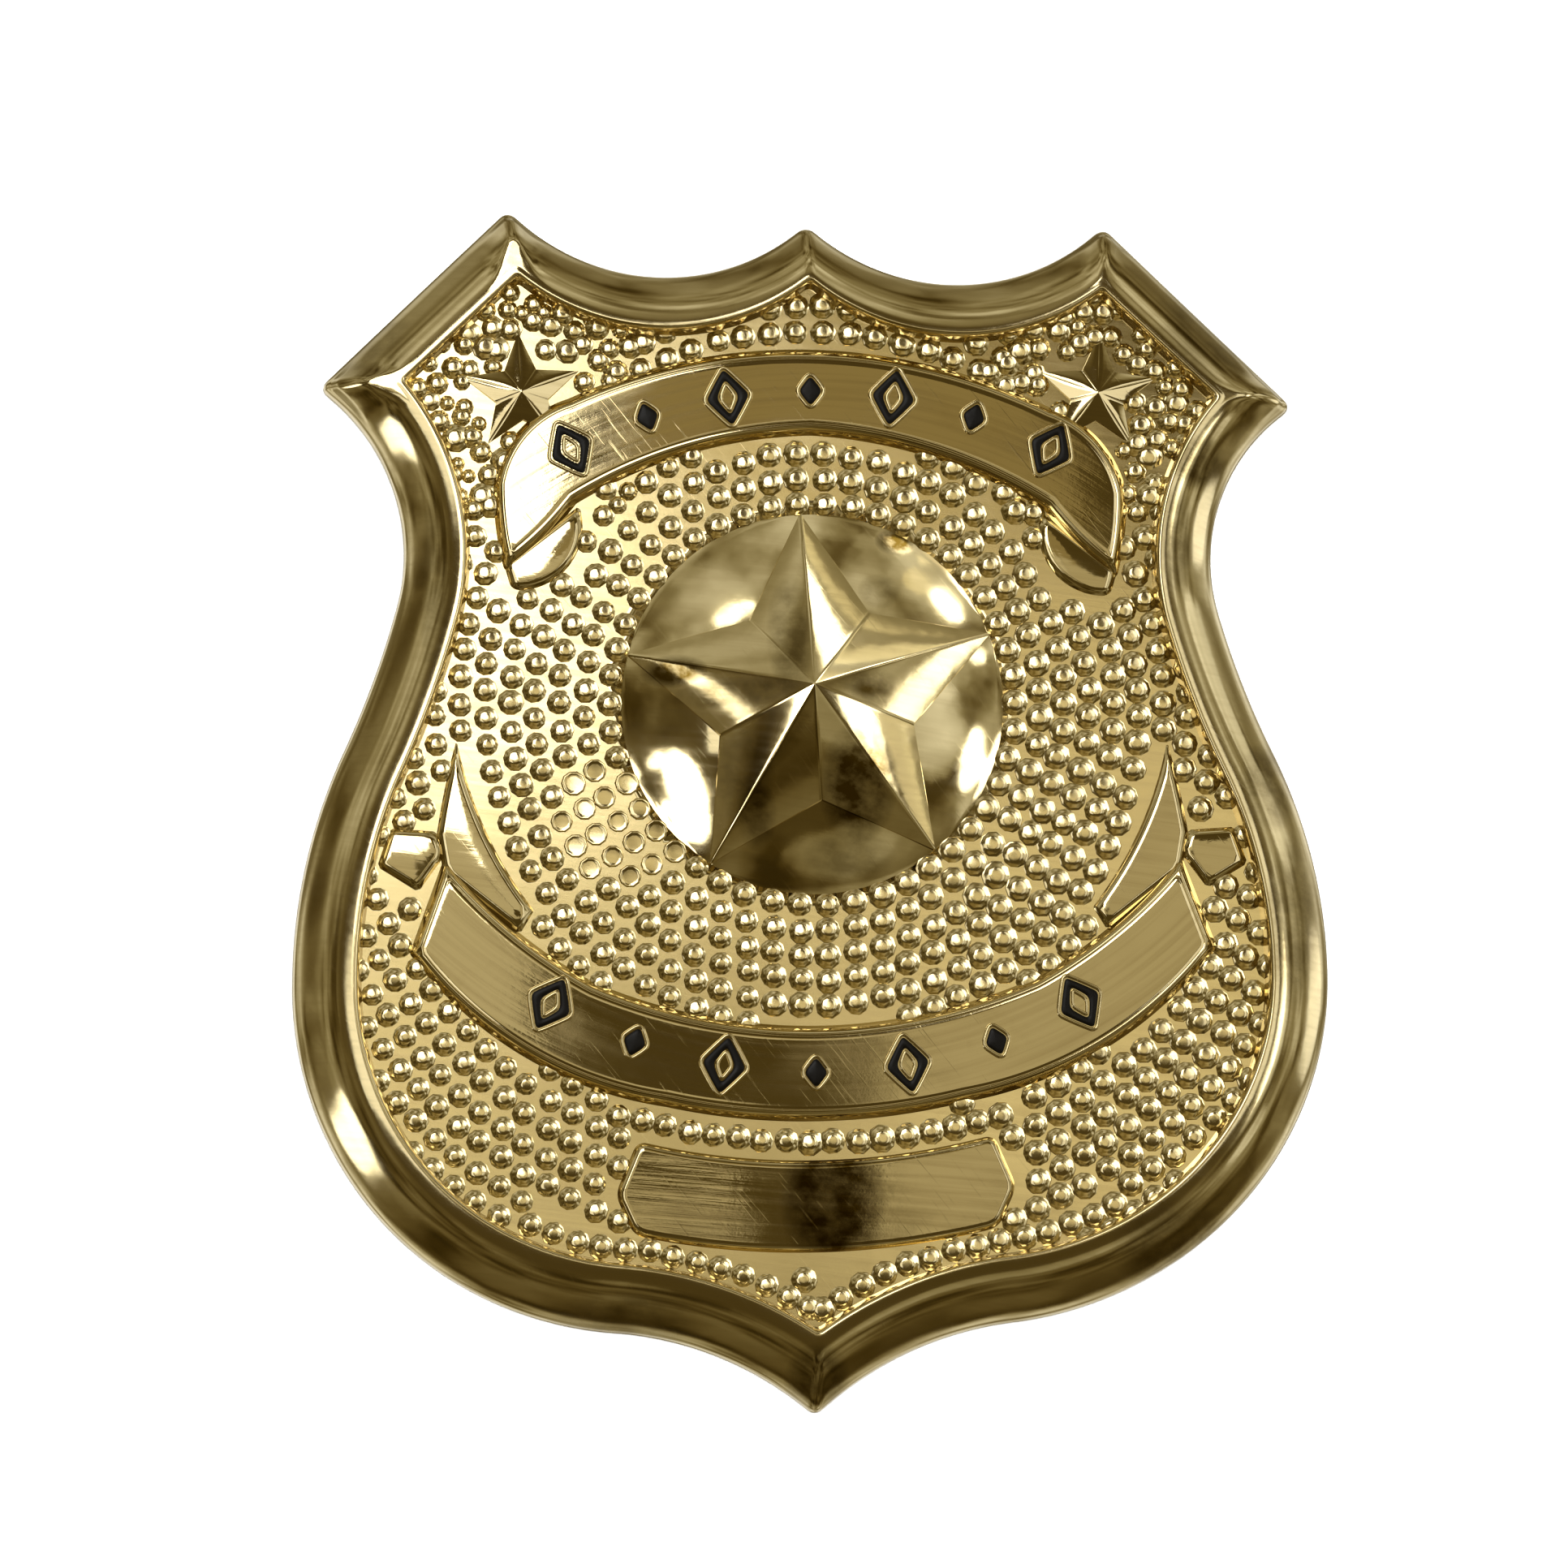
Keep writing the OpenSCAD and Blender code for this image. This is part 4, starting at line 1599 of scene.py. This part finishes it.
@dataclass(frozen=True)
class BroochPin:
    """Plain brooch pin behind: a strip with a rolled knuckle, a needle and an open hook."""

    finish: Finish
    at_y: float = 20.2
    strip_l: float = 30.0
    strip_w: float = 4.0
    strip_t: float = 0.5
    strip_corner: float = 0.9
    strip_chamfer: float = 0.08
    gap: float = 0.04
    needle_d: float = 0.9
    needle_z: float = 0.85
    needle_sides: int = 16
    needle_point_l: float = 2.5
    # The point's taper: share of its length where it starts, what it loses, and how steeply
    needle_taper: Triple = (0.15, 0.8, 1.4)
    needle_tip: float = 0.02
    # The middle of its rounded end: distance past its axis, as a share of its radius
    needle_round: float = 1.02
    # The needle's rounded end at the knuckle: distance past its axis, thickness, as shares of its radius
    needle_end: Table = ((1.0, 0.3), (0.8, 0.75), (0.4, 1.0))
    knuckle_r: float = 0.75
    knuckle_l: float = 3.2
    knuckle_sweep: float = 300.0
    hook_wall: float = 0.3
    hook_l: float = 1.4
    hook_sweep: float = 235.0
    # Broken edges of a roll: how far they reach along it, and the size of its end
    roll_chamfer: float = 0.06
    roll_end: float = 0.97
    roll_steps: int = 24
    # How far the roll's leg reaches into the strip, and how far its axis is from the strip's end
    leg_over: float = 0.1
    axis_inset: float = 2.0

    @property
    def strip_z(self) -> float:
        """Height of the strip's lower face."""
        return BACK_Z - self.gap - self.strip_t

    @property
    def end_x(self) -> float:
        """Distance of the knuckle's axis from the middle."""
        return self.strip_l / 2 - self.axis_inset

    def strip(self) -> Draft:
        """Draws the strip, a plate with rounded corners and broken edges.

        Returns:
            The strip as a closed mesh.
        """
        corners = ((-1, 1), (1, 1), (1, -1), (-1, -1))
        rows = tuple((x * self.strip_l / 2, y * self.strip_w / 2, 0, self.strip_corner) for x, y in corners)
        ring = Outline(rows, 1.0).points()
        ring[:, 1] += self.at_y
        inner = ring + inward(ring) * self.strip_chamfer
        draft = Draft()
        low, high = self.strip_z, self.strip_z + self.strip_t
        broken = self.strip_chamfer
        levels = ((inner, low), (ring, low + broken), (ring, high - broken), (inner, high))
        rings = [draft.ring(xy, z) for xy, z in levels]
        draft.tube(rings)
        draft.faces += [tuple(rings[0]), tuple(rings[-1])]
        return draft

    def rolled(self, centre_x: float, length: float, radius: float, sweep: float, along_y: bool) -> Draft:
        """A strip of sheet that comes down from the plate and rolls round the needle.

        Args:
            centre_x: place of its middle along the pin, for a hook, or of its axis, for the knuckle.
            length: its width across the roll.
            radius: outer radius of the roll.
            sweep: how far round it rolls, in degrees.
            along_y: whether its axis lies along Y, as the knuckle's does, or along X.

        Returns:
            The roll as a closed mesh.
        """
        turn = np.radians(np.linspace(0, sweep, self.roll_steps + 1))
        leg_z = self.strip_z - self.needle_z + self.leg_over
        outer, inner = (
            [(r, leg_z)] + [(r * math.cos(t), -r * math.sin(t)) for t in turn]
            for r in (radius, radius - self.hook_wall)
        )
        section = np.array(outer + inner[::-1])
        draft = Draft()
        half = length / 2
        rings = []
        for along in (-half, -half + self.roll_chamfer, half - self.roll_chamfer, half):
            slim = self.roll_end if abs(along) == half else 1.0
            sides = [((-side, along) if along_y else (along, side), z) for side, z in section * slim]
            rings.append(draft.loop((centre_x + x, self.at_y + y, self.needle_z + z) for (x, y), z in sides))
        draft.tube(rings)
        for ring in (rings[0], rings[-1]):
            for i in range(len(outer) - 1):
                draft.faces.append((ring[i], ring[i + 1], ring[-2 - i], ring[-1 - i]))
        return draft

    def needle(self) -> Draft:
        """Draws the needle, from its end in the knuckle to its point past the hook.

        Returns:
            The needle as a closed mesh.
        """
        draft = Draft()
        r = self.needle_d / 2
        low, high = -self.end_x, self.end_x + self.needle_point_l
        stations = [(low - r * past, share) for past, share in self.needle_end]
        stations.append((high - self.needle_point_l, 1.0))
        start, loss, power = self.needle_taper
        for s in np.linspace(start, 1.0, 7):
            stations.append((high - self.needle_point_l * (1 - s), 1 - loss * s**power))
        sides = circle(np.linspace(0, FULL_TURN, self.needle_sides + 1)[:-1])
        rings = []
        for x, share in stations:
            around = sides * r * share + (self.at_y, self.needle_z)
            rings.append(draft.loop((x, y, z) for y, z in around))
        draft.tube(rings)
        draft.fan(rings[0], (low - r * self.needle_round, self.at_y, self.needle_z))
        draft.fan(rings[-1], (high + self.needle_tip, self.at_y, self.needle_z))
        return draft

    def build(self) -> None:
        """Makes the pin's pieces."""
        hook_r = self.needle_d / 2 + self.gap + self.hook_wall
        pieces = {
            "pin_strip": self.strip(),
            "pin_knuckle": self.rolled(-self.end_x, self.knuckle_l, self.knuckle_r, self.knuckle_sweep, True),
            "pin_hook": self.rolled(self.end_x, self.hook_l, hook_r, self.hook_sweep, False),
            "pin_needle": self.needle(),
        }
        for name, draft in pieces.items():
            finish_piece(draft.build(name, crease=60), self.finish, Node.BROOCH_PIN)


@dataclass(frozen=True)
class SoftBox:
    """A soft light: a rectangle that hangs level, or an ellipse that looks at the badge."""

    name: str
    at: Triple
    size: Pair
    radiance: float
    level: bool = False
    # Finish whose pieces are all that it lights, or None for everything
    only: str | None = None

    def build(self) -> None:
        """Sets the light up."""
        data = bpy.data.lights.new(self.name, "AREA")
        data.shape = "RECTANGLE" if self.level else "ELLIPSE"
        data.size, data.size_y = (s * MM for s in self.size)
        data.energy = self.radiance * math.pi * data.size * data.size_y
        data.color = tone(self.radiance)
        light = scene_object(self.name, data)
        light.location = Vector(self.at) * MM
        if not self.level:
            light.rotation_euler = light.location.to_track_quat("Z", "Y").to_euler()
        if self.only is not None:
            light.light_linking.receiver_collection = wearers(self.only)


@dataclass(frozen=True)
class Surroundings:
    """Dim warm surroundings that the badge mirrors, pale to the camera."""

    # Brightness overhead, half way down to the north and elsewhere, and near the horizon
    overhead: float = 0.07
    north: float = 0.37
    elsewhere: float = 0.11
    horizon: float = 0.24
    # Brightness of the paper that the badge's steep outer edge mirrors
    paper: float = 0.38
    # What the east adds half way down and near the horizon
    east: float = 0.14
    far_east: float = 0.08
    # Shares that the south and the north-east take off the horizon, and what looking down takes off
    south_dims: float = 0.55
    north_east_dims: float = 0.4
    down_dims: float = 0.05
    # Coordinates of a way between which each part comes on; the paper goes off between paper_ends
    north_fade: Pair = (0.0, 0.45)
    south_fade: Pair = (0.1, 0.7)
    east_fade: Pair = (0.3, 0.8)
    far_east_fade: Pair = (0.8, 0.98)
    north_east_fade: Pair = (0.95, 1.3)
    down_fade: Pair = (0.0, 0.4)
    paper_fade: Pair = (0.42, 0.62)
    paper_ends: Pair = (0.3, 0.8)
    half_way_fade: Pair = (0.12, 0.4)
    high_fade: Pair = (0.7, 0.86)
    # Mottle: its scale and detail, the least brightness, and how it adds to that
    mottle_scale: float = 3.5
    mottle_detail: float = 4.0
    mottle_least: float = 0.3
    mottle_adds: Triple = (0.37, 0.63, 1.4)
    # Bright patches: azimuth and elevation in degrees, half widths, brightness
    glows: Table = (
        (-156.0, -3.0, 9.0, 20.0, 2.6), (24.0, 0.0, 9.0, 28.0, 0.6), (-2.0, -27.0, 12.0, 8.0, 1.0),
        (-25.0, 24.0, 7.0, 12.0, 0.4), (-3.0, 48.0, 24.0, 12.0, 0.5), (-72.0, 48.0, 30.0, 9.0, 0.14),
    )
    glow_broken: float = 1.6
    glow_full: float = 0.45
    # Levels that the warm tones are set at
    stops: tuple[float, ...] = (0.0, 0.05, 0.12, 0.25, 0.4, 0.6, 1.0)
    pale: Triple = (0.95, 0.95, 0.94)

    def level(self, sheet: ShaderSheet) -> Wire:
        """Works out how bright the surroundings are.

        Args:
            sheet: the world's sheet.

        Returns:
            The brightness along each way.
        """
        way = sheet.node("ShaderNodeTexCoord", output="Generated")
        x, y, z = (sheet.axis(way, name) for name in "XYZ")
        fine = {"Scale": self.mottle_scale, "Detail": self.mottle_detail}
        mottle = sheet.node("ShaderNodeTexNoise", None, {"Vector": way, **fine})
        north = y.ramp(*self.north_fade) * (self.north - self.elsewhere)
        half_way = self.elsewhere + north + x.shows(*self.east_fade, self.east)
        south, down = (0 - y).ramp(*self.south_fade), 0 - z
        north_east = (x + y).ramp(*self.north_east_fade)
        low = self.horizon * (1 - south * self.south_dims - north_east * self.north_east_dims)
        low = low - down.shows(*self.down_fade, self.down_dims)
        paper = down.ramp(*self.paper_fade) * (1 - y.ramp(*self.paper_ends)) * self.paper
        low = low + x.shows(*self.far_east_fade, self.far_east) + paper
        risen, high = z.ramp(*self.half_way_fade), z.ramp(*self.high_fade)
        sides = low * (1 - risen) + half_way * risen
        sides = sides * (self.mottle_least + mottle.shows(*self.mottle_adds))
        level = sides * (1 - high) + high * self.overhead
        turn, rise = y.math("ARCTAN2", y, x), z.math("ARCSINE", z)
        for azimuth, elevation, wide, tall, brightness in self.glows:
            beside = (turn - math.radians(azimuth)) * (1 / math.radians(wide))
            above = (rise - math.radians(elevation)) * (1 / math.radians(tall))
            near = 1.0 - beside * beside - above * above + (mottle - 0.5) * self.glow_broken
            level = near.shows(0.0, self.glow_full, brightness) + level
        return level

    def build(self) -> None:
        """Makes the surroundings the scene's world."""
        made = bpy.data.worlds.new("surroundings")
        bpy.context.scene.world = made
        sheet = ShaderSheet(made)
        level = self.level(sheet)
        stops = [(share, tuple(share * c for c in tone(share))) for share in self.stops]
        colour = sheet.node("ShaderNodeValToRGB", {"stops": stops}, {"Fac": level})
        strength = level.math("MAXIMUM", level, 1.0)
        dim = sheet.node("ShaderNodeBackground", None, {"Color": colour, "Strength": strength})
        pale = sheet.node("ShaderNodeBackground", None, {"Color": self.pale, "Strength": 1.0})
        seen = sheet.node("ShaderNodeLightPath", output="Is Camera Ray")
        both = sheet.node("ShaderNodeMixShader", None, {0: seen, 1: dim, 2: pale})
        sheet.node("ShaderNodeOutputWorld", None, {"Surface": both})


@dataclass(frozen=True)
class Studio:
    """Camera, pale floor and soft lights round the badge."""

    surroundings: Surroundings = Surroundings()
    # Point of the badge's plane in the middle of the picture, and the picture's width there
    aim: Triple = (-1.6, 1.65, 0.0)
    frame_w: float = 97.92
    lens: float = 200.0
    sensor: float = 36.0
    # Nearest and farthest distance that the camera sees, in metres
    clip: Pair = (0.01, 50.0)
    # Lean of the camera from straight above: to the badge's left and to its foot, and its turn, in degrees
    lean_left: float = 3.5
    lean_down: float = 6.5
    roll: float = 0.45
    floor_half: float = 3000.0
    floor_drop: float = 0.02
    # Strength and width in degrees of the light that only the floor gets
    floor_light: Pair = (4.2, 20.0)
    boxes: tuple[SoftBox, ...] = (
        SoftBox("window", (-97, 200, 600), (206, 200), 3.5, True),
        SoftBox("window_low", (-93, 84, 600), (214, 32), 3.5, True),
        SoftBox("fill_right", (98, 32, 600), (104, 125), 0.38, True),
        SoftBox("fill_top", (44, 110, 600), (60, 50), 0.2, True),
        SoftBox("fill_middle", (24, 66, 600), (42, 37), 0.46, True),
        SoftBox("fill_left", (-39, 42, 600), (82, 50), 0.44, True),
        SoftBox("fill_low", (-28, -8, 600), (112, 50), 0.39, True),
        SoftBox("ground_low", (10, 30, 598), (120, 60), 0.36, True, "ground_brass"),
        SoftBox("ground_side", (90, 48, 598), (110, 112), 0.31, True, "ground_brass"),
        SoftBox("ground_top", (37, 110, 598), (46, 50), 0.3, True, "ground_brass"),
        SoftBox("ground_north_east", (235, 190, 598), (230, 240), 1.0, True, "ground_brass"),
        SoftBox("far_left", (-230, -20, 600), (240, 180), 1.1, True),
        SoftBox("far_right", (260, 60, 600), (180, 300), 0.9, True),
        SoftBox("ground_right", (440, 250, 400), (420, 380), 2.0, only="ground_brass"),
        SoftBox("ground_south", (-60, -420, 430), (620, 420), 0.12, only="ground_brass"),
        SoftBox("rim_streak", (398, -28, 475), (200, 80), 2.0, only="rim_brass"),
    )
    # Small lights that only the boss mirrors: azimuth and elevation in degrees, width, height, brightness
    boss_lights: Table = (
        (61.8, 20.5, 88, 130, 2.5), (60.0, 11.0, 60, 40, 0.4), (53.0, 18.0, 50, 150, 0.52),
        (-3.0, 21.2, 85, 75, 2.0), (-12.5, 30.5, 60, 72, 2.5), (-9.8, 23.0, 50, 100, 0.5),
        (-168.0, 28.4, 42, 48, 2.5), (121.0, 49.0, 150, 60, 3.0), (40.0, 29.3, 120, 90, 3.0),
        (51.0, 31.0, 90, 90, 0.25), (-10.5, 34.0, 200, 85, 3.0), (-153.0, 47.5, 240, 130, 3.5),
        (-166.5, 42.0, 62, 70, 3.0), (-148.5, 39.0, 62, 56, 3.0), (-139.0, 42.0, 150, 140, 3.5),
        (22.4, 29.2, 50, 65, 2.0),
    )
    # Point of the boss that those directions start from, and the lights' distance from it
    boss_from: Triple = (0.0, 6.3, 6.0)
    boss_distance: float = 620.0

    def glints(self) -> list[SoftBox]:
        """Hangs the small lights of the boss.

        Returns:
            The lights, each at its direction from the boss.
        """
        boxes = []
        for i, (azimuth, elevation, width, height, radiance) in enumerate(self.boss_lights):
            turn, rise = math.radians(azimuth), math.radians(elevation)
            way = (math.cos(turn) * math.cos(rise), math.sin(turn) * math.cos(rise), math.sin(rise))
            at = tuple(start + self.boss_distance * step for start, step in zip(self.boss_from, way))
            boxes.append(SoftBox(f"boss_glint_{i}", at, (width, height), radiance, only="boss_brass"))
        return boxes

    def camera(self) -> None:
        """Sets up the camera at the photograph's angle."""
        data = bpy.data.cameras.new("camera")
        data.lens, data.sensor_width = self.lens, self.sensor
        data.clip_start, data.clip_end = self.clip
        camera = scene_object("camera", data)
        distance = self.frame_w / self.sensor * self.lens
        left, down = (math.tan(math.radians(lean)) for lean in (self.lean_left, self.lean_down))
        back = Vector((-left, -down, 1.0)).normalized()
        camera.location = (Vector(self.aim) + back * distance) * MM
        right = Vector((0, 1, 0)).cross(back).normalized()
        upright = Matrix((right, back.cross(right), back)).transposed()
        turn = Matrix.Rotation(math.radians(-self.roll), 3, "Z")
        camera.rotation_euler = (upright @ turn).to_euler()
        bpy.context.scene.camera = camera

    def floor(self) -> None:
        """Lays the pale floor, which the metal doesn't mirror, and lights it from above."""
        half = self.floor_half * MM
        corners = [(x * half, y * half, 0) for x, y in ((-1, -1), (1, -1), (1, 1), (-1, 1))]
        mesh = bpy.data.meshes.new("floor")
        mesh.from_pydata(corners, [], [(0, 1, 2, 3)])
        mesh.materials.append(PaleFloor("pale_floor").material())
        floor = scene_object("floor", mesh)
        floor.location.z = -self.floor_drop * MM
        floor.visible_glossy = False
        data = bpy.data.lights.new("floor_light", "SUN")
        data.energy, data.angle = self.floor_light[0], math.radians(self.floor_light[1])
        lit = bpy.data.collections.new("lit_by_floor_light")
        lit.objects.link(floor)
        scene_object("floor_light", data).light_linking.receiver_collection = lit

    def build(self) -> None:
        """Sets the whole studio up."""
        bpy.context.scene.view_settings.view_transform = "Standard"
        self.camera()
        self.floor()
        self.surroundings.build()
        for box in (*self.boxes, *self.glints()):
            box.build()


# Painted dark reflections of the boss and the rim, and the painted reflection of the camera on the plate: x
# and y of the middle, half widths, strength
BOSS_REFLECTIONS: Table = (
    (2.6, 1.0, 2.2, 3.2, 0.85), (2.2, -3.4, 2.6, 1.4, 0.4), (-9.6, 4.6, 1.9, 2.4, 0.15),
    (-4.9, 6.5, 3.4, 0.9, 0.5), (-1.6, 10.0, 1.3, 3.6, 0.5), (4.1, 13.1, 1.2, 1.0, 0.4),
    (3.2, 7.0, 1.8, 0.9, 0.45), (-3.6, -1.0, 1.1, 1.8, 0.5), (-4.4, 1.6, 1.6, 2.8, 0.4),
    (3.6, 6.4, 1.4, 0.9, 0.3), (-8.7, 8.1, 1.8, 0.9, 0.8), (5.2, 16.4, 1.1, 0.8, 0.95),
)
RIM_REFLECTIONS: Table = (
    (25.5, 30.0, 3.6, 3.6, 0.4), (-27.5, 28.8, 2.6, 2.8, 0.3), (24.2, 21.3, 1.8, 1.6, 0.6),
    (22.8, 16.5, 1.0, 3.2, 0.5), (28.4, 1.0, 1.8, 2.6, 0.5), (29.8, -7.5, 1.7, 5.0, 0.45),
    (22.5, -27.5, 4.0, 2.6, 0.45), (-23.4, 13.0, 0.9, 6.0, 0.35), (-12.0, -32.0, 4.0, 1.8, 0.35),
    (0.0, -35.5, 1.8, 1.8, 0.6),
)
# The plate's patch is a painted reflection of the camera, a dark smear down its middle
PLATE_CAMERA_REFLECTION: Table = ((1.0, -24.5, 2.9, 4.5, 0.9),)


def raised_forms(flat: Finish) -> dict[str, Relief]:
    """Lays out the raised forms of the field.

    Args:
        flat: the finish of the ribbons' folds.

    Returns:
        The forms by name, each with its finish, outline and height.
    """
    upper = Outline((
        (0, 28.6, 0.86, 0), (15.1, 25.2, 1.0, 0), (19.8, 19.8, 0.2, 0),
        (19.1, 14.3, 0.25, 0.4), (14.6, 18.6, -1.0, 0), (0, 23.1, 0, 0),
    )).whole()
    lower = Outline((
        (0, -13.75, -0.7, 0), (13.6, -10.95, -0.6, 0), (22.9, -3.15, 0, 0.2),
        (25.1, -9.1, 1.8, 0.2), (9.3, -18.7, 0.27, 0), (0, -19.75, 0, 0),
    )).whole()
    plate = Outline((
        (0, -22.1, -0.35, 0), (11.05, -20.7, 0, 0.7), (12.45, -24, 0, 0.7),
        (11.3, -26.55, 0.33, 0.7), (0, -27.85, 0, 0),
    )).whole()
    folds = {
        "curl": ((14.4, 18.6, 0, 0), (19.2, 14.9, 0, 0), (18.7, 13.2, 1.9, 0.5)),
        "tail": (
            (22.1, 4.2, 0.1, 0.2), (23.4, -1.8, 0, 0), (23, -4.2, 0, 0), (18.2, -8, 0, 0),
            (17.3, -6.5, -0.7, 0.2),
        ),
        "flap": (
            (23.3, -1.6, 0, 0), (26.3, -1.4, 0, 0), (27.1, -3.8, 0, 0), (24.5, -5.4, 0, 0),
            (22.8, -3.1, 0, 0),
        ),
    }
    upper_brass = PolishedBrass("upper_banner_brass", 0.03, 0.4, brush_arc=UPPER_ARC)
    lower_brass = PolishedBrass("lower_banner_brass", 0.03, 0.4, brush_arc=LOWER_ARC)
    plate_brush = Grain(5.0, (90, 2600, 400), 3.0)
    # The plate's brass carries the painted reflection of the camera
    plate_brass = PolishedBrass("plate_brass", 0.03, 0.4, plate_brush, painted_reflections=PLATE_CAMERA_REFLECTION)
    forms = [
        Relief("upper_banner", upper_brass, upper, 0.7),
        Relief("lower_banner", lower_brass, lower, 0.7),
        Relief("number_plate", plate_brass, plate, 0.45, PLATE_EDGE),
    ]
    for name, rows in folds.items():
        outline = Outline(rows)
        for side, placed in (("right", outline), ("left", outline.on_left())):
            forms.append(Relief(f"{name}_{side}", flat, placed, 0.28, FOLD_EDGE, grid=0.6))
    return {form.name: form for form in forms}


def main() -> None:
    """Builds the badge's pieces and the studio in order."""
    ground = PolishedBrass("ground_brass", roughness=0.1)
    flat = PolishedBrass("form_brass", roughness=0.03, brush_depth=0.3)
    enamel = BlackEnamel("gloss_enamel")
    # The rim's and the boss's brass carry painted dark reflections
    rim = Rim(PolishedBrass("rim_brass", roughness=0.1, waver=0.02, painted_reflections=RIM_REFLECTIONS))
    boss = Boss(PolishedBrass("boss_brass", roughness=0.07, waver=0.02, painted_reflections=BOSS_REFLECTIONS))
    forms = raised_forms(flat)
    upper, lower, plate = (forms[name] for name in ("upper_banner", "lower_banner", "number_plate"))
    small = {way: StarFace(3.8, 1.7, (0.1, 0.33, 0.7), -way * 3, ridge_w=0.14, bulge=0.02) for way in (-1, 1)}
    stars = (
        CornerStar("corner_star_left", flat, (-18, 25.8), small[-1]),
        CornerStar("corner_star_right", flat, (18, 25.8), small[1]),
    )
    for piece in (rim, boss, *forms.values(), *stars):
        piece.build()
    Field(ground, rim, boss, (upper, lower, plate)).build()
    BeadGround(ground, rim, boss, tuple(forms.values()), stars).build()
    for row in (
        FigureRow("upper_enamel_figures", enamel, flat, Node.UPPER_ENAMEL, upper, UPPER_ARC, 9.2),
        FigureRow("lower_enamel_figures", enamel, flat, Node.LOWER_ENAMEL, lower, LOWER_ARC, 9.8),
    ):
        row.build_enamel()
        row.build_lips()
    BroochPin(SatinBrass("satin_pin_brass")).build()
    Studio().build()


if __name__ == "__main__":
    logging.basicConfig(level=logging.INFO, format="%(name)s: %(message)s")
    main()
